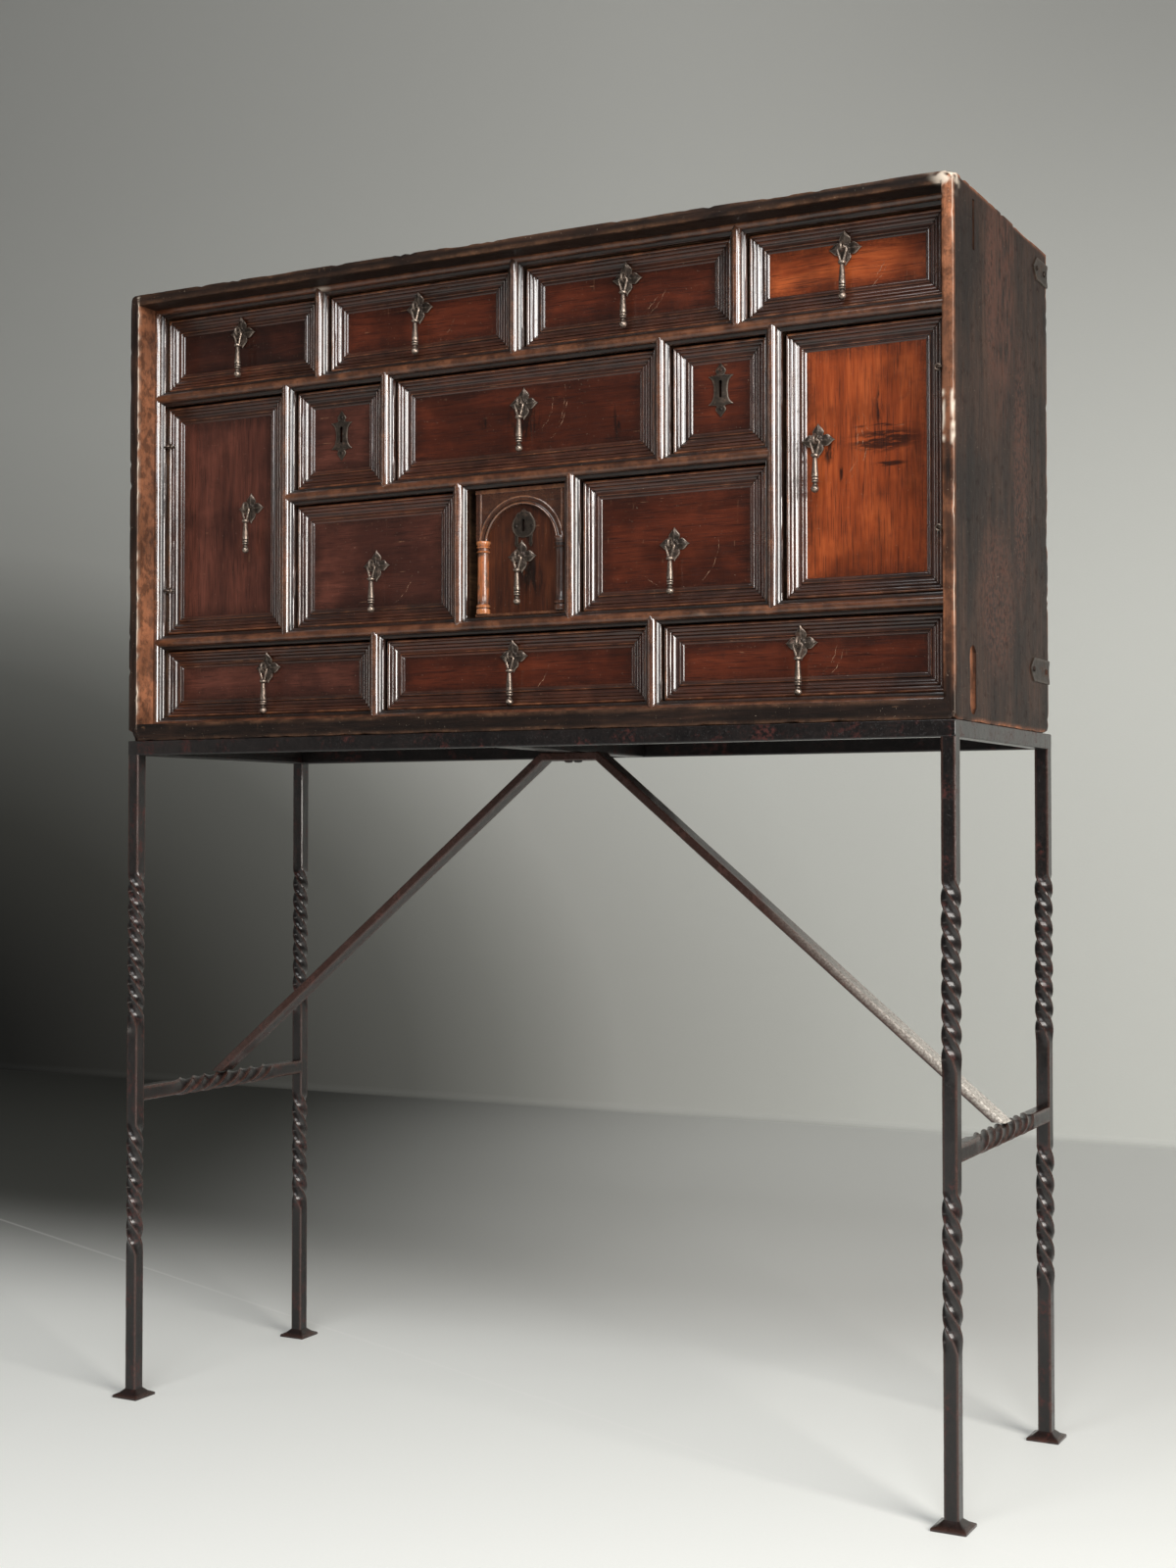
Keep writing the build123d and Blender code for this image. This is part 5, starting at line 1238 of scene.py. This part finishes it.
drop_profile = [(0.0, -13.0), (1.5, -13.0), (2.2, -13.6), (2.9, -14.3), (4.2, -15.2), (4.5, -16.2),
                (4.2, -17.2), (3.0, -18.0), (2.2, -18.7), (2.25, -19.5), (2.6, -21.5), (2.95, -26.0),
                (3.3, -31.0), (3.65, -35.5), (3.8, -38.4), (3.6, -39.5), (3.0, -39.9), (3.0, -40.5),
                (3.9, -41.0), (4.05, -41.7), (3.8, -42.4), (2.9, -42.8), (2.9, -43.5), (3.8, -44.0),
                (3.9, -44.6), (3.6, -45.2), (2.3, -45.6), (2.0, -46.5), (2.2, -47.2), (3.2, -47.8),
                (3.3, -48.3), (2.5, -48.7)]
drop_profile += [(4.25 * math.sin(a), -52.45 + 4.25 * math.cos(a)) for a in np.linspace(0.72, 3.0, 9)]
drop_profile.append((0.0, -56.7))
drop_worn = [0.9 if r > 3.75 else 0.35 for r, _ in drop_profile]
drop_deep = [0.9 if h in (-18.7, -39.9, -40.5, -42.8, -43.5, -45.6, -46.5, -48.7) else 0.0
             for _, h in drop_profile]
half_stirrup = [(-1.7, -15.0), (-2.6, -11.0), (-3.9, -6.5), (-4.9, -3.2), (-5.1, -1.6), (-4.4, -0.4),
                (-3.2, 0.0), (-1.6, 0.05), (0.0, 0.1)]
stirrup = half_stirrup + [(-a, b) for a, b in half_stirrup[-2::-1]]
stirrup_rise = 1.3
for name, ((x, z), body) in pulls.items():
    bar_z = z - stirrup_rise
    drop = Work()
    turned(drop, drop_profile, x, pivot_y, bar_z, segments=24, wobble=0.02, worn=drop_worn, deep=drop_deep)
    wire(drop, [(x + a, pivot_y, bar_z + b) for a, b in stirrup], 1.3, (0, 1, 0), worn=0.6)
    drop.piece(f"pull_{name}", [pull_iron], f"drop_{name}", "pull_iron", [f"drop_{name}"])


# ---------------------------------------------------------------- Locks
# The two square drawers and the portal door are locked. Each has a pierced iron escutcheon held
# by two nails and, inside, a closed iron lock box.

lock_iron = forged_iron("lock_iron", (30, 26, 24), (62, 54, 48), (76, 46, 32), 0.32,
                        metal=0.75, lumps=8.0, rubbed=(132, 120, 108))
tall_rows = [(30.3, 0.05), (29.0, 1.0), (27.5, 2.1), (25.5, 3.8), (23.5, 5.4), (21.8, 6.2), (20.2, 5.9),
             (18.8, 4.9), (17.8, 4.5), (17.2, 5.6), (16.7, 8.0), (16.3, 11.5), (16.0, 15.2), (15.2, 14.6),
             (13.8, 12.4), (11.8, 10.7), (9.5, 9.6), (6.5, 8.8), (3.0, 8.3), (0.0, 8.2)]
tall_rows += [(-z, w) for z, w in tall_rows[-2::-1]]
oval_rows = [(21.0, 0.05), (19.4, 1.3), (17.6, 3.4), (16.6, 5.2), (15.4, 8.8), (14.0, 9.6), (12.6, 10.2),
             (10.6, 11.6), (8.0, 13.6), (5.0, 14.9), (2.0, 15.4), (-1.0, 15.4), (-4.0, 14.8), (-7.0, 13.2),
             (-9.5, 11.4), (-11.5, 8.6), (-12.8, 4.6), (-13.4, 0.05)]
tail_rows = [(-7.0, 2.0), (-12.0, 2.2), (-16.0, 1.6), (-20.0, 2.3), (-22.5, 1.6), (-24.0, 0.1)]
pin_profile = [(0.0, 8.0), (1.7, 8.0), (2.0, 7.7), (2.0, 0.3), (1.7, 0.0), (0.0, 0.0)]


def cut_plate(work, x, z, rows, swell=0.7):
    """A plate cut to an outline given as half widths at its levels, a little raised in the middle."""
    gauge = 1.2
    across = (-1.0, -1.0, -0.94, -0.8, -0.55, -0.28, 0.0, 0.28, 0.55, 0.8, 0.94, 1.0, 1.0)
    wide = len(across)
    points, worn = [], []
    for level, half in rows:
        for k, c in enumerate(across):
            skirt = k in (0, wide - 1)
            soft = gauge * (0.85 if abs(c) == 1.0 else 1.0) + swell * (1 - c * c) * min(1, half / 8)
            points.append((x + c * half, panel_y - soft * (not skirt), z + level))
            worn.append(0.0 if skirt else 0.85 if abs(c) > 0.9 else 0.25)
    faces, last = [], (len(rows) - 1) * wide
    for a in range(0, last, wide):
        faces += [(b, b + wide, b + wide + 1, b + 1) for b in range(a, a + wide - 1)]
        faces.append((a + wide - 1, a + 2 * wide - 1, a + wide, a))
    faces += [tuple(range(wide)), tuple(range(last, last + wide))[::-1]]
    work.add(points, faces, worn=worn)


for name, (x, z), rows in (("left", lock_left, tall_rows), ("right", lock_right, tall_rows),
                           ("portal", lock_portal, oval_rows)):
    small, body, node, nailed = 1.0, f"drawer_lock_{name}", f"lock_{name}", ((0.0, 21.8), (0.0, -21.8))
    half_x, half_z, near = 22.0, 20.0, drawer_inner_y
    if name == "portal":
        small, body, node, nailed = 0.72, "door_portal", "door_portal_ironwork", ((-10.5, 0.0), (10.5, 0.0))
        half_x, half_z, near = 15.0, 13.0, portal_inner_y
    plate = Work()
    cut_plate(plate, x, z, rows)
    if name == "portal":
        for side in (-1, 1):
            cut_plate(plate, x + side * 9.5, z, tail_rows, swell=0.2)
    made = plate.piece(f"escutcheon_{name}", [lock_iron], body, "pull_iron", [node])
    sized = [(a * small, b * small) for a, b in keyhole]
    pierced(made, sized, x, z, panel_y - 6.0, panel_y + 0.5)
    if name == "portal":
        pierced(portal_panel, sized, x, z, panel_y - 1.0, portal_inner_y - 0.3)
    nails(f"escutcheon_nails_{name}", [((x + a, panel_y - 1.4, z + b), (0, -1, 0)) for a, b in nailed],
          2.3, 1.4, body, lock_iron, seed=11)
    box = Work()
    thin_board(box, (x - half_x, x + half_x), (near + 0.05, near + 7.0), (z - half_z, z + half_z), arris=0.8)
    if name == "portal":
        for low in (portal_low_z - 8.0, portal_high_z):
            turned(box, pin_profile, right_column_x, column_y, low, segments=16)
    box.piece(f"lock_box_{name}", [strap_iron], body, "pull_iron", [node])


# ---------------------------------------------------------------- Stand
# The stand is square iron bar forged over fixed lengths into left-handed twists. Legs, frame and
# stretchers are welded, and two flat braces are riveted under the bearer.

bar = 16.0
rail_depth = 18.0
rail_low = 804.5
rail_top = rail_low + rail_depth
leg_x, leg_y = half_width - bar / 2, 176.0
rail_inner_y = leg_y - bar / 2
foot_top = 10.0
stretcher_z = 378.0
stand_iron = forged_iron("stand_iron", (12, 10, 10), (28, 23, 22), (66, 24, 19), 0.24, metal=0.02,
                         lumps=30.0, rubbed=(76, 50, 42), wax=0.3)


def twisted_bar_tree(name, finish, wide, high):
    """Nodes that give each path a bar's section, turned by the angle stored at its points."""
    grower, given = growth(name, {"Width": wide, "Height": high, "Arris": 1.1 * mm, "Beaten": 0.5 * mm})
    node = grower.node
    square = node("GeometryNodeCurvePrimitiveQuadrilateral", None, {
        "Width": given["Width"], "Height": given["Height"]})
    eased = node("GeometryNodeFilletCurve", {"mode": "POLY"}, {
        "Curve": square.outputs["Curve"], "Count": 2, "Radius": given["Arris"]})
    section = node("GeometryNodeResampleCurve", None, {"Curve": eased.outputs["Curve"], "Count": 32})
    where = node("GeometryNodeInputPosition")
    reach = node("ShaderNodeVectorMath", {"operation": "LENGTH"}, {0: where.outputs["Position"]})
    rubbed = node("ShaderNodeMapRange", None, {
        "Value": reach.outputs["Value"], "From Min": 9.4 * mm, "From Max": 10.8 * mm})
    marked = node("GeometryNodeStoreNamedAttribute", None, {
        "Name": "worn", "Geometry": section.outputs["Curve"], "Value": rubbed.outputs["Result"]})
    path = node("GeometryNodeMeshToCurve", None, {"Mesh": given["Geometry"]})
    turn = node("GeometryNodeInputNamedAttribute", {"data_type": "FLOAT"}, {"Name": "turn"})
    wrung = node("GeometryNodeSetCurveTilt", None, {
        "Curve": path.outputs["Curve"], "Tilt": turn.outputs["Attribute"]})
    swept = node("GeometryNodeCurveToMesh", None, {
        "Curve": wrung.outputs["Curve"], "Profile Curve": marked.outputs["Geometry"],
        "Fill Caps": True})
    return beaten(grower, swept.outputs["Mesh"], 60.0, 0.5, given["Beaten"], finish)


def twisted_bars(name, ends, twists, wide, high, nodes):
    """Bars between pairs of ends; twists are (start, end, turns) along each bar."""
    points, edges, turns = [], [], []
    for first, last in np.array(ends, float):
        length = np.linalg.norm(last - first)
        run = [0.0, 0.5]
        while run[-1] < length - 3.0:
            twisting = any(start - 3 < run[-1] < end + 3 for start, end, _ in twists)
            run.append(min(length - 0.5, run[-1] + (3.0 if twisting else 12.0)))
        run.append(length)
        edges += [(i, i + 1) for i in range(len(points), len(points) + len(run) - 1)]
        points += [(first + (last - first) * s / length) * mm for s in run]
        turns += [full_turn * sum(count * float(np.clip((s - start) / (end - start), 0, 1))
                                  for start, end, count in twists) for s in run]
    mesh = bpy.data.meshes.new(name + "_paths")
    mesh.from_pydata([p.tolist() for p in points], edges, [])
    mesh.attributes.new("turn", "FLOAT", "POINT").data.foreach_set("value", turns)
    tree = twisted_bar_tree(name + "_tree", stand_iron, wide * mm, high * mm)
    grown(name, mesh, tree, {"Arris": 1.2 * mm, "Beaten": 0.6 * mm}, "cabinet", nodes)


corners = [(side_x * leg_x, side_y * leg_y) for side_x in (-1, 1) for side_y in (-1, 1)]
leg_twists = [(183.0 - foot_top, 340.0 - foot_top, -1.5), (470.0 - foot_top, 657.0 - foot_top, -2.0)]
twisted_bars("legs", [((x, y, foot_top - 1.0), (x, y, rail_low + 0.5)) for x, y in corners], leg_twists,
             bar, bar, ["stand_legs"])
rail_end_y = rail_inner_y + 1.0
twisted_bars("stretchers", [[(x, y, stretcher_z) for y in (-rail_end_y, rail_end_y)]
                            for x in (-leg_x, leg_x)],
             [(rail_inner_y - 99.0, rail_inner_y + 101.0, -2.0)], bar, rail_depth, ["stand_stretchers"])

foot_levels = ((19.0, 0.0), (19.0, 2.4), (18.4, 3.0), (13.0, 5.6), (8.4, 9.6), (8.0, foot_top))
feet = Work()
for x, y in corners:
    rings = []
    for half, z in foot_levels:
        outline = board_outline(-half, half, -half, half, min(1.2, half / 6), 9.0)
        rings.append([(x + a, y + b, z + 0.25 * lump(a * 0.1 + x, b * 0.1 + y, 1.0) * (z > 0))
                      for a, b in outline])
    count = min(map(len, rings))
    rings = [[ring[round(k * len(ring) / count) % len(ring)] for k in range(count)] for ring in rings]
    feet.add(*skin(np.array(rings)), worn=[0.0] * count + [0.8] * count * 2 + [0.2] * count * 3)
feet.piece("feet", [stand_iron], "cabinet", "stand_iron", ["stand_feet"])

bearer_half = 13.0
frame_bars = Work()
whole_x, between_y = (-half_width, half_width), (-rail_end_y, rail_end_y)
for x, y in ((whole_x, (-leg_y - bar / 2, -rail_inner_y)), ((-half_width, bar - half_width), between_y),
             (whole_x, (rail_inner_y, leg_y + bar / 2)), ((half_width - bar, half_width), between_y),
             ((-bearer_half, bearer_half), between_y)):
    thin_board(frame_bars, x, y, (rail_low, rail_top), arris=1.2)
frame_bars.piece("frame_bars", [stand_iron], "cabinet", "stand_iron", ["stand_top_frame"])

brace_gauge = 10.0
brace_low = rail_low - brace_gauge
brace_foot = (540.0, stretcher_z + math.hypot(bar, rail_depth) / 2)
brace_bend = (40.0, rail_low)
brace_slope = math.atan2(brace_bend[1] - brace_foot[1], brace_foot[0] - brace_bend[0])
foot_run = brace_gauge / math.sin(brace_slope)
bend_run = brace_gauge / math.tan(brace_slope) - foot_run
brace_lines = np.array([[brace_foot, brace_bend, (0.0, rail_low)],
                        [(brace_foot[0] - foot_run, brace_foot[1]), (brace_bend[0] + bend_run, brace_low),
                         (0.0, brace_low)]])
brace_section = ((-13, 0.12), (-13, 0.88), (-12.0, 1.0), (-4, 1.0), (4, 1.0), (12.0, 1.0), (13, 0.88),
                 (13, 0.12), (12.0, 0.0), (4, 0.0), (-4, 0.0), (-12.0, 0.0))
braces = Work()
for side in (-1, 1):
    rings, painted_sheen_marks = [], []
    for part, steps in enumerate((np.linspace(0, 1, 28, endpoint=False), np.linspace(0, 1, 5))):
        for t in steps:
            # Painted highlight: a pale speckled sheen on the right brace's lower end, laid through the bare
            # mark.
            sheen_share = 0.95 * max(0.0, 1 - (t + part) / 0.58) * (side > 0)
            painted_sheen_marks += [0.0] + [sheen_share] * 6 + [0.0] * 5
            top, low = brace_lines[:, part] * (1 - t) + brace_lines[:, part + 1] * t
            sway = 0.5 * lump(top[0] * 0.02, side, 2.0)
            spots = [(y + sway, low * (1 - share) + top * share) for y, share in brace_section]
            rings.append([(side * x, y, z) for y, (x, z) in spots])
    worn = [0.8, 0.8, 0.9, 0.1, 0.1, 0.9] * 2 * len(rings)
    braces.add(*skin(np.array(rings)), worn=worn, bare=painted_sheen_marks)
braces.piece("braces", [stand_iron], "cabinet", "stand_iron", ["stand_braces"])

rivets = Work()
rivet_head = [(0.0, 0.0), (3.0, 0.0), (5.4, -0.3), (5.5, -0.8), (4.8, -1.7), (3.2, -2.4), (0.0, -2.7)]
for x in (-6.5, 6.5):
    turned(rivets, rivet_head, x, 0.0, brace_low + 0.1, segments=18)
rivets.piece("rivets", [stand_iron], "cabinet", "stand_iron", ["brace_rivets"])


# ---------------------------------------------------------------- Studio
# A pale floor meets a grey wall some way behind the cabinet. Both carry painted light and shade.
# A window-like lamp stands to the right, a tall narrow one to the left, and two weak ones beside the
# camera and overhead.

wall_turn = 0.015
wall_run = 2500.0
coving = 20.0


def backdrop_paint(name, shades, depth):
    """Flat paint whose painted light and shade follow the place on the floor or the wall, clear from behind.
    """
    paint = Finish(name)
    turned_place = paint.node("ShaderNodeMapping", None, {
        "Vector": paint.place, "Rotation": (0.0, 0.0, -wall_turn)})
    split = paint.node("ShaderNodeSeparateXYZ", None, {"Vector": turned_place.outputs["Vector"]})
    across, run, up = (Value(paint, split.outputs[axis]) for axis in ("X", "Y", "Z"))
    grain = paint.noise(3, 3)
    colour = shades(paint, across, run, up)
    coat = paint.node("ShaderNodeBsdfPrincipled", None, {
        "Base Color": paint.mix(grain * 0.06, colour, (120, 120, 117)), "Roughness": 0.6,
        "Normal": paint.relief(grain, depth)})
    behind = paint.node("ShaderNodeNewGeometry").outputs["Backfacing"]
    seen = paint.node("ShaderNodeMixShader", None, {
        0: behind, 1: coat.outputs["BSDF"],
        2: paint.node("ShaderNodeBsdfTransparent").outputs["BSDF"]})
    paint.node("ShaderNodeOutputMaterial", None, {"Surface": seen.outputs["Shader"]})
    return paint.material


def floor_shades(paint, across, run, up):
    """Painted light and shade on the floor: bright near the camera, painted shade falling off into the far
    left and towards the right, with one seam.
    """
    lit = paint.colours((run + 0.7) * 0.33, (0.0, (250, 252, 249)), (0.25, (238, 240, 237)),
                        (0.45, (232, 233, 230)), (0.7, (230, 231, 228)), (1.0, (226, 227, 224)))
    shade = run.rise(0.05, 0.95) * (1 - (across + run * 0.42).rise(-1.2, 0.45))
    colour = paint.mix(shade, lit, (66, 67, 62))
    colour = paint.mix((across + run * 0.207).rise(0.78, 1.8) * 0.92, colour, (84, 85, 82))
    seam = paint.sum("ABSOLUTE", run + across * 0.42 - 0.02, 0.0)
    return paint.mix((1 - seam.rise(0.0, 0.006)) * 0.3, colour, (246, 246, 244))


def wall_shades(paint, across, run, up):
    """Painted light and shade on the wall: mid grey, painted brighter to the right and dark low on the left,
    evening out higher up.
    """
    spread = paint.node("ShaderNodeCombineXYZ", None, {"X": across + 3.9, "Y": up * 1.7})
    colour = paint.colours(paint.length(spread.outputs["Vector"]) * 0.25, (0.18, (38, 38, 35)),
                           (0.36, (78, 78, 73)), (0.53, (120, 121, 116)), (0.6, (150, 151, 146)),
                           (0.69, (192, 193, 188)), (0.86, (208, 210, 205)))
    upper = paint.mix(across.rise(-1.2, 0.6), (190, 191, 187), (150, 151, 148))
    return paint.mix(up.rise(0.9, 2.9), colour, upper)


sweep = [(-4000.0, 0.0), (wall_run - coving, 0.0)]
sweep += [(wall_run - coving + coving * math.sin(a), coving - coving * math.cos(a))
          for a in np.linspace(0.3, math.pi / 2, 5)]
sweep += [(wall_run, 6000.0)]
points = [(across * math.cos(wall_turn) - run * math.sin(wall_turn),
           across * math.sin(wall_turn) + run * math.cos(wall_turn), z)
          for run, z in sweep for across in (-8000.0, 8000.0)]
base = len(points)
faces = [(i, i + 1, i + 3, i + 2) for i in range(0, base - 2, 2)] + [tuple(range(base, base + 4))]
points += [(-9000.0, wall_run - 400.0, -0.2), (9000.0, wall_run - 400.0, -0.2),
           (9000.0, 9000.0, -0.2), (-9000.0, 9000.0, -0.2)]
backdrop_mesh = bpy.data.meshes.new("backdrop")
backdrop_mesh.from_pydata((np.array(points) * mm).tolist(), [], faces)
backdrop_mesh.materials.append(backdrop_paint("studio_floor", floor_shades, 0.1))
backdrop_mesh.materials.append(backdrop_paint("studio_wall", wall_shades, 0.2))
backdrop_mesh.polygons.foreach_set("material_index", [0, 0] + [1] * (len(faces) - 3) + [0])
backdrop = bpy.data.objects.new("backdrop", backdrop_mesh)
bpy.context.scene.collection.objects.link(backdrop)


def lamp(name, place, aim, size, power, colour=(1.0, 1.0, 1.0)):
    light = bpy.data.lights.new(name, "AREA")
    light.shape = "RECTANGLE"
    light.size, light.size_y = size
    light.energy = power
    light.color = colour
    made = bpy.data.objects.new(name, light)
    made.location = place
    made.rotation_euler = (Vector(aim) - Vector(place)).to_track_quat("-Z", "Y").to_euler()
    bpy.context.scene.collection.objects.link(made)


lamp("window_lamp", (3.3, -1.7, 1.7), (0.0, 0.0, 0.9), (1.6, 2.2), 165.0, (1.0, 0.96, 0.91))
lamp("left_lamp", (-3.2, -2.6, 1.3), (-0.2, -0.1, 1.0), (0.3, 2.4), 8.0, (1.0, 0.94, 0.86))
lamp("camera_lamp", (2.0, -4.6, 2.8), (0.2, 0.0, 1.0), (2.0, 1.6), 62.0)
lamp("ceiling_lamp", (0.6, -2.4, 3.4), (0.5, -1.2, 0.0), (2.4, 1.2), 62.0)

room = bpy.data.worlds.new("room")
room.use_nodes = True
room.node_tree.nodes["Background"].inputs["Color"].default_value = (0.62, 0.64, 0.66, 1.0)
room.node_tree.nodes["Background"].inputs["Strength"].default_value = 0.16
bpy.context.scene.world = room
bpy.context.scene.view_settings.view_transform = "Standard"

lens = bpy.data.cameras.new("camera")
lens.sensor_fit = "HORIZONTAL"
lens.sensor_width = 36.0
lens.lens = 62.93
camera = bpy.data.objects.new("camera", lens)
camera.location = (1.18284, -2.21230, 0.70443)
camera.rotation_euler = (math.pi / 2 + 0.0246, 0.0, 0.4839)
bpy.context.scene.collection.objects.link(camera)
bpy.context.scene.camera = camera
